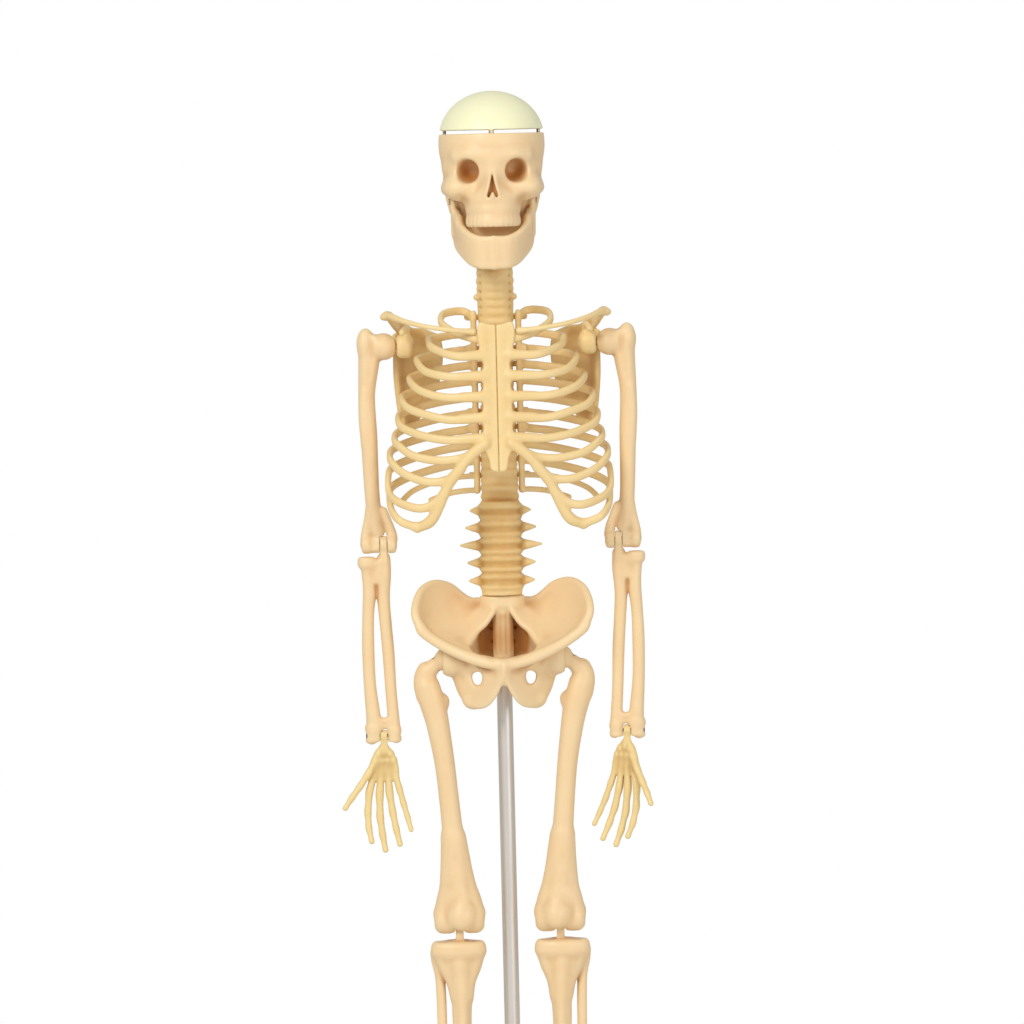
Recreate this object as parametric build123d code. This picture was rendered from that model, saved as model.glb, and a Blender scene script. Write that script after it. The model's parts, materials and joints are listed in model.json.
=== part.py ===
"""Desk-top human skeleton teaching model on a rod stand, in millimetres, +Z up, facing -Y.

The origin is the centre of the stand's footprint. Paired parts are drawn on the +X side and mirrored:
the model's own left side is +X and its own right side is -X.
"""

import math
import os

from build123d import *

os.makedirs("parts", exist_ok=True)

# ---------------------------------------------------------------- driving dimensions
HEIGHT = 450.0  # rubber feet to the top of the skull
BASE_LENGTH, BASE_DEPTH, BASE_THICK = 150.0, 120.0, 9.0
BASE_CORNER, BASE_WALL = 14.0, 2.4
FOOT_PAD_R, FOOT_PAD_H = 6.0, 2.4
ROD_R, ROD_Y, ROD_TOP = 3.0, 7.0, 268.0
THREAD_R = 2.5  # the rod's reduced lower end
GAP = 0.05  # radial clearance of a pin in a bore
SLACK = 0.3  # side clearance of a tongue in a fork

# joint centres on the +X side: x outward, y back, z up
JAW = (14.9, 1.0, 408.0)
SHOULDER = (42.6, 4.0, 353.3)
ELBOW = (46.8, 3.0, 277.6)
WRIST = (46.7, 2.0, 204.0)
HIP = (22.0, 0.0, 233.0)
KNEE = (19.4, 0.0, 132.3)
ANKLE = (19.6, 5.0, 42.0)
NECK_Y, NECK_TOP = 4.0, 386.5

# pins: radius of each joint's pin
SHOULDER_PIN_R, ELBOW_PIN_R, WRIST_PIN_R = 1.0, 0.8, 0.7
HIP_PIN_R, KNEE_PIN_R, ANKLE_PIN_R, JAW_PIN_R = 1.0, 0.8, 0.8, 0.6
NECK_PIN_R, CAP_PIN_R, CLAVICLE_PIN_R = 1.6, 0.55, 0.5

# skull
SKULL_HALF_WIDTH, SKULL_HALF_DEPTH, SKULL_Y = 20.1, 25.5, 1.0
CAP_CUT, CAP_GAP, SKULL_WALL = 433.8, 1.3, 2.0

# forks and tongues: (inner face, outer face) of each tongue along x
ELBOW_TONGUE = (43.7, 46.3)
WRIST_TONGUE = (45.4, 48.0)
WRIST_HEAD_SEAT = 52.6  # spot-face under the wrist pin's head
KNEE_TONGUE = (17.9, 20.9)
ANKLE_TONGUE = (17.5, 21.7)

# each hand's turn about its wrist, degrees: the left hand hangs turned in
HAND_TURN = {"right": 0.0, "left": -32.0}

# vertebra levels: z of each body's middle
LUMBAR = [289.0, 282.4, 275.7, 268.9, 262.0]
LUMBAR_REACH = [12.0, 13.9, 16.0, 13.4, 13.0]  # half span of the transverse processes
THORACIC_TOP, THORACIC_PITCH = 363.5, 6.1
CERVICAL_TOP, CERVICAL_PITCH = 384.0, 3.05
CERVICAL_REACH = [7.6, 7.6, 8.2, 8.2, 8.2, 7.0, 6.4]
SPINE_FOOT = 256.8


# ---------------------------------------------------------------- helpers
def ellipsoid(centre, radii):
    return Pos(*centre) * scale(Sphere(1), by=radii)


def oval(centre, half_x, half_y):
    """A level ellipse whose seam always lies on +X, so that lofts don't twist."""
    return Plane(centre) * scale(Circle(1), by=(half_x, half_y, 1))


def limb(sections):
    """A bone shaft through level ovals: (x, y, z, half width, half depth) each."""
    return loft([oval((x, y, z), a, b) for x, y, z, a, b in sections])


def route(points):
    """Straight runs joined by the largest tangent arcs that they allow."""
    points = [Vector(*p) for p in points]
    runs = [(b - a).length for a, b in zip(points, points[1:])]
    radii = []
    for i in range(1, len(points) - 1):
        turn = (points[i] - points[i - 1]).get_angle(points[i + 1] - points[i])
        radii.append(0.45 * min(runs[i - 1], runs[i]) / math.tan(math.radians(turn / 2)))
    return FilletPolyline(*points, radius=radii)


def tube(points, radius):
    if len(points) == 2:
        return rod_between(*points, radius, radius)
    path = route(points)
    return sweep(Plane(origin=path @ 0, z_dir=path % 0) * Circle(radius), path=path)


def rod_between(start, end, r_start, r_end):
    """A round bar, or a cone, from one point to another."""
    start, end = Vector(*start), Vector(*end)
    along = end - start
    place = Plane(origin=(start + end) * 0.5, z_dir=along)
    if abs(r_start - r_end) < 1e-6:
        return place * Cylinder(r_start, along.length)
    return place * Cone(r_start, r_end, along.length)


def ball(centre, radius):
    return Pos(*centre) * Sphere(radius)


def cross_pin(x0, x1, centre, radius):
    """A round bar along X from x0 to x1 at a joint's y and z."""
    return rod_between((x0, centre[1], centre[2]), (x1, centre[1], centre[2]), radius, radius)


def upright(x, y, z0, z1, radius):
    """A round bar along Z."""
    return rod_between((x, y, z0), (x, y, z1), radius, radius)


def block(x, y, z):
    """A box from its (low, high) pairs."""
    middle = [(low + high) / 2 for low, high in (x, y, z)]
    return Pos(*middle) * Box(x[1] - x[0], y[1] - y[0], z[1] - z[0])


def spine_y(z):
    """Front-to-back place of the backbone: a leaning line with the chest's backward bow."""
    lean = 7.0 - 3.0 * (z - 256.0) / 130.0
    return lean + 8.4 * math.exp(-(((z - 328.0) / 27.0) ** 2))


def joined(first, *others):
    """One solid from several that overlap."""
    return first.fuse(*others)


parts = {}


def keep_pair(name, shape):
    """Stores a +X side piece and its mirror image."""
    parts[name + "_left"] = shape
    parts[name + "_right"] = mirror(shape, about=Plane.YZ)


# ---------------------------------------------------------------- stand
FOOT_PLACES = [(x * 60.0, y * 45.0) for x in (-1, 1) for y in (-1, 1)]
PLATE_LOW = FOOT_PAD_H - 0.4  # the pads stand 2 mm proud of the plate
PLATE_HIGH = PLATE_LOW + BASE_THICK
HUB_HIGH = PLATE_HIGH + 4.0
SHOULDER_SEAT = PLATE_HIGH - 3.0  # where the rod's shoulder rests in the hub
POST_FOOT = PLATE_LOW + 3.6  # underside of the post that the washer bears on
PAD_RECESS = 1.0  # how deep each pad sits in its boss


def base_plate():
    outer = Pos(0, 0, PLATE_LOW) * extrude(RectangleRounded(BASE_LENGTH, BASE_DEPTH, BASE_CORNER), BASE_THICK)
    outer = fillet(outer.edges().group_by(Axis.Z)[-1], 2.5)
    hollow = RectangleRounded(BASE_LENGTH - 2 * BASE_WALL, BASE_DEPTH - 2 * BASE_WALL, BASE_CORNER - BASE_WALL)
    shell = outer - Pos(0, 0, PLATE_LOW) * extrude(hollow, BASE_THICK - BASE_WALL)
    hub = Pos(0, ROD_Y, (PLATE_HIGH + HUB_HIGH) / 2) * Cone(10.0, 7.5, HUB_HIGH - PLATE_HIGH)
    post = Pos(0, ROD_Y, (POST_FOOT + PLATE_HIGH) / 2) * Cylinder(9.0, PLATE_HIGH - POST_FOOT)
    shell = joined(shell, hub, post)
    for x, y in FOOT_PLACES:
        shell = joined(shell, Pos(x, y, (PLATE_LOW + PLATE_HIGH) / 2) * Cylinder(7.5, BASE_THICK - 2.0))
        shell = shell - Pos(x, y, PLATE_LOW) * Cylinder(FOOT_PAD_R + 0.1, 2 * PAD_RECESS)
    rib_span = (2 - BASE_LENGTH / 2, BASE_LENGTH / 2 - 2)
    for y in (-28.0, 34.0):
        shell = joined(shell, block(rib_span, (y - 0.8, y + 0.8), (PLATE_LOW + 2, PLATE_HIGH - 1)))
    seat = upright(0, ROD_Y, SHOULDER_SEAT, HUB_HIGH + 1.0, ROD_R + GAP)
    through = upright(0, ROD_Y, -4.0, 16.0, THREAD_R + GAP)
    return shell - seat - through


def base_pads():
    pad = Cylinder(FOOT_PAD_R, FOOT_PAD_H)
    pad = chamfer(pad.edges().group_by(Axis.Z)[0], 0.5)
    return Compound([Pos(x, y, FOOT_PAD_H / 2) * pad for x, y in FOOT_PLACES])


def stand_rod():
    stub = rod_between((0, ROD_Y, PLATE_LOW), (0, ROD_Y, SHOULDER_SEAT + 0.5), THREAD_R, THREAD_R)
    shank = Pos(0, ROD_Y, (SHOULDER_SEAT + ROD_TOP) / 2) * Cylinder(ROD_R, ROD_TOP - SHOULDER_SEAT)
    shank = chamfer(shank.edges().group_by(Axis.Z)[-1], 0.6)
    return joined(shank, stub)


def rod_washer():
    ring = Cylinder(5.5, 0.8) - Cylinder(THREAD_R + 0.2, 2.0)
    return Pos(0, ROD_Y, POST_FOOT - 0.45) * ring


def rod_nut():
    hexagon = extrude(RegularPolygon(4.4, 6), 2.4) - Cylinder(THREAD_R + GAP, 8.0)
    return Pos(0, ROD_Y, POST_FOOT - 0.9 - 2.4) * hexagon


parts["base_plate"] = base_plate()
parts["base_pads"] = base_pads()
parts["stand_rod"] = stand_rod()
parts["rod_washer"] = rod_washer()
parts["rod_nut"] = rod_nut()


# ---------------------------------------------------------------- backbone
# the cage is screwed to the transverse processes of the 3rd and 8th thoracic vertebrae
CAGE_SCREW_LEVELS = [THORACIC_TOP - THORACIC_PITCH * i for i in (2, 7)]
SCREW_X, SCREW_R = 9.9, 0.6
CORE_LEVELS = (NECK_TOP, 372.0, 356.0, 340.0, 324.0, 308.0, 292.0, 274.0, SPINE_FOOT)


def vertebra(z, half_x, half_y, height):
    body = extrude(scale(Circle(1), by=(half_x, half_y, 1)), height)
    return Pos(0, spine_y(z), z - height / 2) * body


def backbone():
    core = tube([(0, spine_y(z), z) for z in CORE_LEVELS], 4.1)
    pieces = []
    for i, reach in enumerate(CERVICAL_REACH):
        z = CERVICAL_TOP - CERVICAL_PITCH * i
        y = spine_y(z)
        pieces.append(vertebra(z, 5.6, 4.6, 2.2))
        for side in (-1, 1):
            pieces.append(rod_between((side * 3.5, y + 1.5, z), (side * reach, y + 1.2, z - 0.6), 1.35, 0.95))
        pieces.append(rod_between((0, y + 3.0, z), (0, y + 8.5 + 0.3 * i, z - 1.6), 1.1, 0.7))
    for i in range(12):
        z = THORACIC_TOP - THORACIC_PITCH * i
        y = spine_y(z)
        pieces.append(vertebra(z, 5.4 + 0.1 * i, 4.8, 4.2))
        if i < 11:
            for side in (-1, 1):
                pieces.append(rod_between((side * 3.0, y + 3.9, z), (side * 10.9, y + 7.6, z), 1.5, 1.3))
        pieces.append(rod_between((0, y + 3.5, z), (0, y + 11.0, z - 5.0), 1.5, 0.9))
    for z, reach in zip(LUMBAR, LUMBAR_REACH):
        y = spine_y(z)
        pieces.append(vertebra(z, 8.0, 6.2, 4.8))
        for side in (-1, 1):
            pieces.append(rod_between((side * 5.0, y + 2.0, z), (side * reach, y + 2.6, z), 2.1, 0.6))
        pieces.append(rod_between((0, y + 4.5, z), (0, y + 13.0, z - 1.5), 1.9, 1.5))
    column = joined(core, *pieces)
    column = column - upright(0, ROD_Y, SPINE_FOOT - 3, ROD_TOP + 0.8, ROD_R + GAP)
    column = column - upright(0, NECK_Y, NECK_TOP - 7, NECK_TOP + 3, NECK_PIN_R + GAP / 2)
    for z in CAGE_SCREW_LEVELS:
        for side in (-1, 1):
            column = column - screw_hole(side * SCREW_X, z, 2.0, 12.0)
    return column


def screw_hole(x, z, behind, beyond):
    """A hole from front to back; its ends are given from the backbone's middle."""
    y = spine_y(z)
    return rod_between((x, y + behind, z), (x, y + beyond, z), SCREW_R + 0.1, SCREW_R + 0.1)


parts["backbone"] = backbone()
parts["neck_pin"] = upright(0, NECK_Y, NECK_TOP - 6.5, NECK_TOP + 9.0, NECK_PIN_R)


# ---------------------------------------------------------------- rib cage
STERNUM_TOP, STERNUM_FOOT, STERNUM_THICK = 361.5, 300.5, 3.2
STERNUM_TILT = 6.5  # degrees, foot forward
RIB_R, MARGIN_R, FLOATING_R = 1.45, 1.9, 1.2
STRIP_X = 8.6  # the upright strip at the back that the ribs grow from
# ribs 2 to 10: level at the side, level and half span at the breastbone or margin, and half width
RIBS = [
    (355.0, 6.0, 348.8, 27.0),
    (347.4, 6.0, 341.0, 31.6),
    (340.0, 6.0, 333.0, 34.5),
    (333.0, 6.0, 325.1, 37.6),
    (324.6, 6.0, 317.6, 39.4),
    (317.4, 7.0, 313.4, 41.0),
    (311.4, 15.0, 304.8, 42.6),
    (304.0, 21.2, 296.2, 43.4),
    (295.6, 29.0, 283.6, 43.2),
]
MARGIN = [(5.5, 315.0), (14.0, 306.8), (20.0, 298.6), (23.0, 291.8), (27.6, 284.6), (31.0, 282.6)]


def chest_front(z):
    """Front-to-back place of the breastbone's middle at a level."""
    return -18.0 - (STERNUM_TOP - z) * math.tan(math.radians(STERNUM_TILT))


def margin_y(x):
    return -25.2 + 0.0075 * x * x


CLAVICLE_END = (7.8, chest_front(359.0), 358.9)  # the collar bone's inner end


def half_breastbone():
    top, foot = STERNUM_TOP, STERNUM_FOOT
    outline = Polyline(
        (0.1, top - 1.2), (3.0, top - 0.6), (6.9, top - 0.8), (7.1, 353.0), (5.2, 348.0),
        (5.7, 325.0), (5.9, 312.0), (3.4, 307.0), (2.2, foot), (0.1, foot), close=True,
    )  # fmt: skip
    plate = extrude(Plane.XZ * make_face(outline), STERNUM_THICK / 2, both=True)
    lean = Location((0, chest_front(STERNUM_TOP), STERNUM_TOP), (STERNUM_TILT, 0, 0))
    return lean * Pos(0, 0, -STERNUM_TOP) * plate


def rib(level, side_z, front_x, front_z, width):
    back = spine_y(level)
    front = margin_y(front_x) if front_x > 6.5 else chest_front(front_z)
    drop = side_z - level
    return tube(
        [
            (STRIP_X, back + 1.6, level),
            (max(0.5 * width, 16.5), back + 6.6, level + 0.25 * drop),
            (0.9 * width, 0.55 * back + 4.0, level + 0.7 * drop),
            (width - RIB_R, -1.0, side_z),
            (0.84 * width, -13.5, side_z + 0.45 * (front_z - side_z)),
            (0.5 * width + 0.4 * front_x, -23.0, front_z + 0.8 if front_x < 6.5 else front_z - 0.6),
            (front_x - 1.0, front, front_z),
        ],
        RIB_R,
    )


def strip_point(z):
    """A point of the upright strip that the ribs grow from."""
    return (STRIP_X, spine_y(z) + 1.6, z)


def rib_cage_half():
    levels = [THORACIC_TOP - THORACIC_PITCH * i for i in range(12)]
    strip_levels = (levels[0] + 0.5, 350.0, 337.0, 323.0, 310.0, levels[11] + 1.0)
    strip = tube([strip_point(z) for z in strip_levels], 1.35)
    first = [strip_point(levels[0]), (13.5, 12.0, 366.5), (18.4, 3.0, 365.6), (15.0, -11.0, 360.0)]
    first.append((5.5, -18.0, 355.4))
    eleventh = [strip_point(levels[10]), (20.0, 18.5, 302.0), (33.0, 14.0, 298.0), (38.6, 3.0, 292.5)]
    twelfth = [(STRIP_X, spine_y(levels[11]) + 1.6, levels[11] + 1.5), (13.0, 14.5, 296.6), (21.5, 16.5, 295.2)]
    twelfth.append((27.0, 14.0, 293.0))
    pieces = [strip, tube(first, RIB_R)]
    for level, (side_z, front_x, front_z, width) in zip(levels[1:], RIBS):
        pieces.append(rib(level, side_z, front_x, front_z, width))
    pieces.append(tube([(x, margin_y(x), z) for x, z in MARGIN], MARGIN_R))
    pieces.append(tube(eleventh, FLOATING_R))
    pieces.append(tube(twelfth, FLOATING_R))
    half = joined(half_breastbone(), *pieces)
    for z in CAGE_SCREW_LEVELS:
        lug = rod_between((SCREW_X, spine_y(z) + 0.6, z), (SCREW_X, spine_y(z) + 4.6, z), 1.9, 1.5)
        half = joined(half, lug) - screw_hole(SCREW_X, z, -1.0, 9.0)
    return half - cross_pin(3.5, 12.0, CLAVICLE_END, CLAVICLE_PIN_R + GAP)


def cage_screws():
    """Self-tapping screws from behind the transverse processes into the cage's lugs."""
    screws = []
    for z in CAGE_SCREW_LEVELS:
        y = spine_y(z)
        for side in (-1, 1):
            shank = rod_between((side * SCREW_X, y + 0.8, z), (side * SCREW_X, y + 9.0, z), SCREW_R, SCREW_R)
            head = rod_between((side * SCREW_X, y + 8.9, z), (side * SCREW_X, y + 9.7, z), 1.2, 1.2)
            screws.append(joined(shank, head))
    return Compound(screws)


keep_pair("rib_cage", rib_cage_half())
parts["cage_screws"] = cage_screws()


# ---------------------------------------------------------------- shoulder girdle
ACROMION = (41.6, 1.2, 365.0)
GLENOID_FACE = 37.0  # x of the shoulder blade's socket face


def shoulder_girdle():
    """Collar bone and shoulder blade, moulded in one."""
    collar_route = [(17.0, -21.0, 359.8), (29.0, -17.0, 361.6), (38.0, -9.0, 364.4), (41.4, 0.6, 365.2)]
    collar = tube([CLAVICLE_END] + collar_route, 1.15)
    inner_end = rod_between(CLAVICLE_END, (10.4, CLAVICLE_END[1] - 0.4, CLAVICLE_END[2] + 0.1), 1.4, 1.3)
    knob = ball(ACROMION, 2.1)
    arch = tube([ACROMION, (39.0, 9.0, 361.5), (33.5, 17.5, 358.0), (25.0, 24.0, 354.5)], 1.3)
    # the blade is a thin triangle in an upright plane that leans back towards the spine
    blade_plane = Plane(origin=(39.6, 11.5, 0), x_dir=(-0.768, 0.640, 0), z_dir=(0.640, 0.768, 0))
    outline = Polyline(
        (0.6, 352.5), (1.4, 333.0), (5.5, 321.0), (9.5, 320.0), (19.5, 338.0),
        (23.5, 356.0), (18.0, 360.0), (7.0, 358.5), (2.0, 357.0), close=True,
    )  # fmt: skip
    outline = make_face(outline)
    outline = fillet(outline.vertices(), 1.4)
    blade = extrude(blade_plane * outline, 0.8, both=True)
    rim = rod_between((38.6, 12.2, 352.0), (38.0, 12.6, 332.0), 1.15, 1.0)
    socket = rod_between((32.6, 4.0, SHOULDER[2]), (GLENOID_FACE, 4.0, SHOULDER[2]), 2.9, 4.2)
    neck = rod_between((34.6, 4.0, 353.0), (38.2, 12.6, 352.6), 2.5, 1.9)
    coracoid = tube([(34.6, 4.6, 355.0), (34.0, 1.0, 359.6), (35.4, -5.4, 358.6)], 1.2)
    girdle = joined(collar, inner_end, knob, arch, blade, rim, socket, neck, coracoid)
    girdle = girdle - cross_pin(6.0, 11.0, CLAVICLE_END, CLAVICLE_PIN_R + GAP)
    return girdle - cross_pin(31.0, 40.0, SHOULDER, SHOULDER_PIN_R + GAP / 2)


keep_pair("shoulder_girdle", shoulder_girdle())
keep_pair("collar_pin", cross_pin(4.0, 10.6, CLAVICLE_END, CLAVICLE_PIN_R))
keep_pair("shoulder_pin", cross_pin(33.0, 47.5, SHOULDER, SHOULDER_PIN_R))


# ---------------------------------------------------------------- arms
def fork_cut(tongue, centre, up, down, front, back):
    """The slot that a tongue swings in."""
    x = (tongue[0] - SLACK, tongue[1] + SLACK)
    return block(x, (centre[1] - front, centre[1] + back), (centre[2] - down, centre[2] + up))


def humerus():
    y, top = SHOULDER[1], SHOULDER[2]
    shaft = limb([
        (49.4, y, top - 2, 4.3, 4.3), (49.3, y, 345.0, 4.2, 4.0), (50.0, y, 334.0, 3.4, 3.3),
        (49.6, y - 0.3, 312.0, 3.15, 3.0), (48.8, y - 0.7, 294.0, 3.2, 3.0), (47.3, 3.0, 285.0, 5.1, 3.0),
        (46.8, 3.0, 280.6, 6.5, 3.1), (46.8, 3.0, ELBOW[2], 6.7, 3.2),
    ])  # fmt: skip
    tubercle = ellipsoid((49.0, y, top + 0.4), (4.5, 4.7, 7.3))
    head = ball((43.2, y, top), 5.2)
    condyle = cross_pin(40.3, 53.2, ELBOW, 3.35)
    condyle = fillet(condyle.edges(), 0.8)
    bone = joined(shaft, tubercle, head, condyle)
    bone = bone - fork_cut(ELBOW_TONGUE, ELBOW, up=3.8, down=8.0, front=9.0, back=9.0)
    bone = bone - cross_pin(38.0, 52.0, ELBOW, ELBOW_PIN_R + GAP / 2)
    return bone - cross_pin(30.0, 48.0, SHOULDER, SHOULDER_PIN_R + GAP)


def forearm():
    radius = limb([
        (51.5, 2.6, 272.8, 3.3, 3.0), (51.5, 2.6, 270.6, 3.4, 3.1), (51.4, 2.6, 266.0, 2.6, 2.5),
        (51.7, 2.4, 240.0, 2.45, 2.4), (51.4, 2.2, 221.0, 2.6, 2.5), (50.5, 2.0, 210.0, 3.0, 3.0),
        (50.6, 2.0, 201.0, 2.4, 2.9),
    ])  # fmt: skip
    ulna = limb([
        (45.2, 3.4, 272.8, 2.6, 2.9), (45.5, 3.4, 266.0, 3.3, 2.8), (45.3, 3.2, 255.0, 2.6, 2.5),
        (44.3, 3.0, 236.0, 2.4, 2.3), (43.5, 2.6, 220.0, 2.4, 2.4), (42.8, 2.2, 209.0, 2.7, 2.8),
        (42.6, 2.0, 201.0, 2.5, 2.7),
    ])  # fmt: skip
    tongue = cross_pin(*ELBOW_TONGUE, ELBOW, 3.2)
    stem = block(ELBOW_TONGUE, (0.9, 5.6), (270.0, ELBOW[2]))
    bridge = block((43.5, 49.5), (0.6, 3.6), (207.4, 211.6))
    web = block((46.0, 50.0), (1.2, 4.4), (262.0, 271.0))
    bone = joined(radius, ulna, tongue, stem, bridge, web)
    bone = bone - fork_cut(WRIST_TONGUE, WRIST, up=3.2, down=6.0, front=6.0, back=6.0)
    bone = bone - cross_pin(40.0, 50.0, ELBOW, ELBOW_PIN_R + GAP)
    bone = bone - cross_pin(WRIST_HEAD_SEAT, 60.0, WRIST, 1.7)
    return bone - cross_pin(38.0, 56.0, WRIST, WRIST_PIN_R + GAP / 2)


# finger rays of the hand: knuckle-to-tip points and tip radius, x outward from the wrist's x
RAYS = [
    [(3.0, 0.0, 193.0), (7.0, -1.5, 187.5), (12.0, -3.0, 182.0), (15.4, -4.4, 176.4)],
    [(3.2, 0.0, 191.0), (6.6, -0.4, 182.0), (7.9, -1.6, 171.0), (7.0, -3.8, 162.6)],
    [(1.2, 0.0, 191.0), (2.6, -0.4, 181.0), (2.2, -1.4, 168.0), (1.4, -3.6, 159.4)],
    [(-1.2, 0.0, 191.0), (-1.8, -0.4, 181.0), (-3.6, -1.6, 170.0), (-5.2, -3.8, 162.6)],
    [(-3.0, 0.0, 191.0), (-6.2, -0.6, 181.5), (-8.2, -1.8, 174.0), (-9.6, -3.6, 168.0)],
]
RAY_R = [1.5, 1.45, 1.5, 1.45, 1.3]


def hand(turn):
    x0 = (WRIST_TONGUE[0] + WRIST_TONGUE[1]) / 2
    y0 = WRIST[1]
    tongue = cross_pin(*WRIST_TONGUE, WRIST, 2.1)
    stem = block(WRIST_TONGUE, (y0 - 1.4, y0 + 1.4), (196.5, WRIST[2]))
    palm = limb([
        (0.0, 0.0, 198.6, 1.7, 1.6), (0.2, 0.0, 195.0, 5.6, 2.3), (0.8, 0.0, 190.5, 7.4, 2.4),
        (0.0, -0.3, 186.0, 6.6, 2.1), (-0.3, -0.3, 183.4, 5.8, 1.6),
    ])  # fmt: skip
    pieces = [palm]
    for points, radius in zip(RAYS, RAY_R):
        pieces.append(tube(points, radius))
        pieces.append(ball(points[-1], radius * 1.02))
    spread = Pos(x0, y0, 0) * Rot(0, 0, turn) * joined(*pieces)
    bone = joined(spread, tongue, stem)
    return bone - cross_pin(40.0, 52.0, WRIST, WRIST_PIN_R + GAP)


def wrist_pin():
    shank = cross_pin(40.6, WRIST_HEAD_SEAT + 0.3, WRIST, WRIST_PIN_R)
    head = cross_pin(WRIST_HEAD_SEAT + 0.05, WRIST_HEAD_SEAT + 0.9, WRIST, 1.5)
    return joined(shank, head)


keep_pair("humerus", humerus())
keep_pair("elbow_pin", cross_pin(40.6, 51.0, ELBOW, ELBOW_PIN_R))
keep_pair("forearm", forearm())
keep_pair("wrist_pin", wrist_pin())
parts["hand_left"] = hand(HAND_TURN["left"])
parts["hand_right"] = mirror(hand(HAND_TURN["right"]), about=Plane.YZ)


# ---------------------------------------------------------------- pelvis
ACETABULUM_R = 5.0
SOCKET_FLOOR, SOCKET_OUTER = 17.0, 25.0  # x of the hip socket's floor and rim


def wing_section(z, inner, outer, front, back, bow):
    """A level slot, the iliac wing's cut at height z, from its back inner end to its front outer end."""
    middle = ((inner + outer) / 2 + bow, (front + back) / 2 + bow)
    return Plane((0, 0, z)) * SlotArc(ThreePointArc((inner, back), middle, (outer, front)), 3.0)


def hip_half():
    wing = loft([
        wing_section(237.0, 15.0, 22.0, -4.0, 9.0, 1.0),
        wing_section(244.0, 11.5, 26.5, -9.0, 14.0, 2.0),
        wing_section(252.0, 12.0, 31.0, -10.5, 17.0, 3.0),
        wing_section(264.0, 14.0, 33.5, -9.0, 18.0, 4.0),
    ])  # fmt: skip
    # the crest's outline from the front: highest above the hip, falling to the spines
    crest = Spline((12.0, 249.0), (19.0, 258.0), (26.5, 262.3), (33.0, 257.5), (34.4, 249.0), (29.0, 238.0))
    outline = make_face([crest, Polyline((29.0, 238.0), (10.0, 234.0), (12.0, 249.0))])
    wing = wing & (Pos(0, 30, 0) * extrude(Plane.XZ * outline, 60.0))
    cup = rod_between((14.5, HIP[1], HIP[2]), (SOCKET_OUTER, HIP[1], HIP[2]), 5.6, 7.0)
    brim_route = [(31.0, -10.5, 244.0), (24.5, -10.6, 239.6), (16.0, -12.2, 235.8), (7.0, -14.6, 232.4)]
    brim_route.append((1.0, -15.2, 231.0))
    inner_route = [(12.5, 12.0, 247.0), (17.0, 4.0, 242.0), (16.5, -6.0, 237.5), (10.0, -13.0, 233.5)]
    # pubis and ischium: one slanting plate with the obturator hole
    slab = Pos(10.5, -6.4, 224) * Rot(0, 0, 42) * Box(40, 5.0, 60)
    rim = [(1.2, 233.5), (1.2, 224.0), (5.4, 214.8), (14.4, 213.9), (18.8, 222.0), (19.6, 235.0)]
    rim = fillet(make_face(Polyline(*rim, close=True)).vertices(), 2.0)
    hole = Pos(10.2, 225.0) * Ellipse(2.2, 3.8)
    plate = (Pos(0, 30, 0) * extrude(Plane.XZ * (rim - hole), 60.0)) & slab
    return joined(wing, cup, tube(brim_route, 2.3), tube(inner_route, 2.0), plate)


def pelvis():
    sacrum = limb([
        (0, 9.0, 256.0, 8.6, 5.6), (0, 11.5, 250.0, 12.5, 5.4), (0, 15.0, 242.0, 10.0, 4.0),
        (0, 17.0, 233.0, 5.5, 2.8), (0, 15.5, 226.0, 2.4, 1.8),
    ])  # fmt: skip
    socket = upright(0, ROD_Y, 231.0, 254.0, 4.6)
    half = hip_half()
    symphysis = block((-2.6, 2.6), (-17.2, -12.4), (223.5, 232.5))
    ring = joined(sacrum, half, mirror(half, about=Plane.YZ), socket, symphysis)
    ring = ring - upright(0, ROD_Y, 220.0, 262.0, ROD_R + GAP)
    for side in (-1, 1):
        ring = ring - cross_pin(*sorted((side * SOCKET_FLOOR, side * 60.0)), HIP, ACETABULUM_R)
        ring = ring - cross_pin(*sorted((side * 13.5, side * 20.0)), HIP, HIP_PIN_R + GAP / 2)
    return ring


parts["pelvis"] = pelvis()
keep_pair("hip_pin", cross_pin(14.5, 25.5, HIP, HIP_PIN_R))


# ---------------------------------------------------------------- legs
def femur():
    shaft = limb([
        (30.2, 1.6, 229.5, 3.9, 3.8), (29.5, 1.4, 224.0, 5.3, 4.4), (26.9, 1.0, 216.0, 5.5, 4.2),
        (25.6, 0.6, 208.0, 4.9, 3.9), (23.9, 0.0, 194.0, 4.1, 3.7), (22.2, -0.6, 178.5, 3.9, 3.5),
        (20.9, -0.8, 163.0, 4.4, 3.6), (19.9, -0.6, 148.0, 6.0, 4.2), (19.4, -0.4, 139.0, 8.5, 5.0),
        (19.4, -0.2, 133.0, 9.5, 5.2),
    ])  # fmt: skip
    trochanter = ellipsoid((30.8, 1.6, 226.4), (3.9, 4.2, 5.2))
    lesser = ellipsoid((23.0, 3.0, 216.0), (2.6, 2.6, 3.2))
    head = ball(HIP, ACETABULUM_R - 0.35)
    neck = rod_between((22.5, 0.0, 232.9), (29.6, 0.8, 229.6), 2.9, 3.3)
    condyles = [fillet(cross_pin(x - 4.4, x + 4.4, KNEE, 5.2).edges(), 1.6) for x in (14.3, 24.5)]
    saddle = cross_pin(12.0, 26.8, KNEE, 4.4)
    patella = ellipsoid((17.6, -6.2, 133.6), (4.9, 2.6, 5.1))
    bone = joined(shaft, trochanter, lesser, head, neck, *condyles, saddle, patella)
    bone = bone - fork_cut(KNEE_TONGUE, KNEE, up=3.9, down=9.0, front=3.6, back=12.0)
    bone = bone - cross_pin(14.0, 27.0, HIP, HIP_PIN_R + GAP)
    return bone - cross_pin(11.0, 27.5, KNEE, KNEE_PIN_R + GAP / 2)


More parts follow.
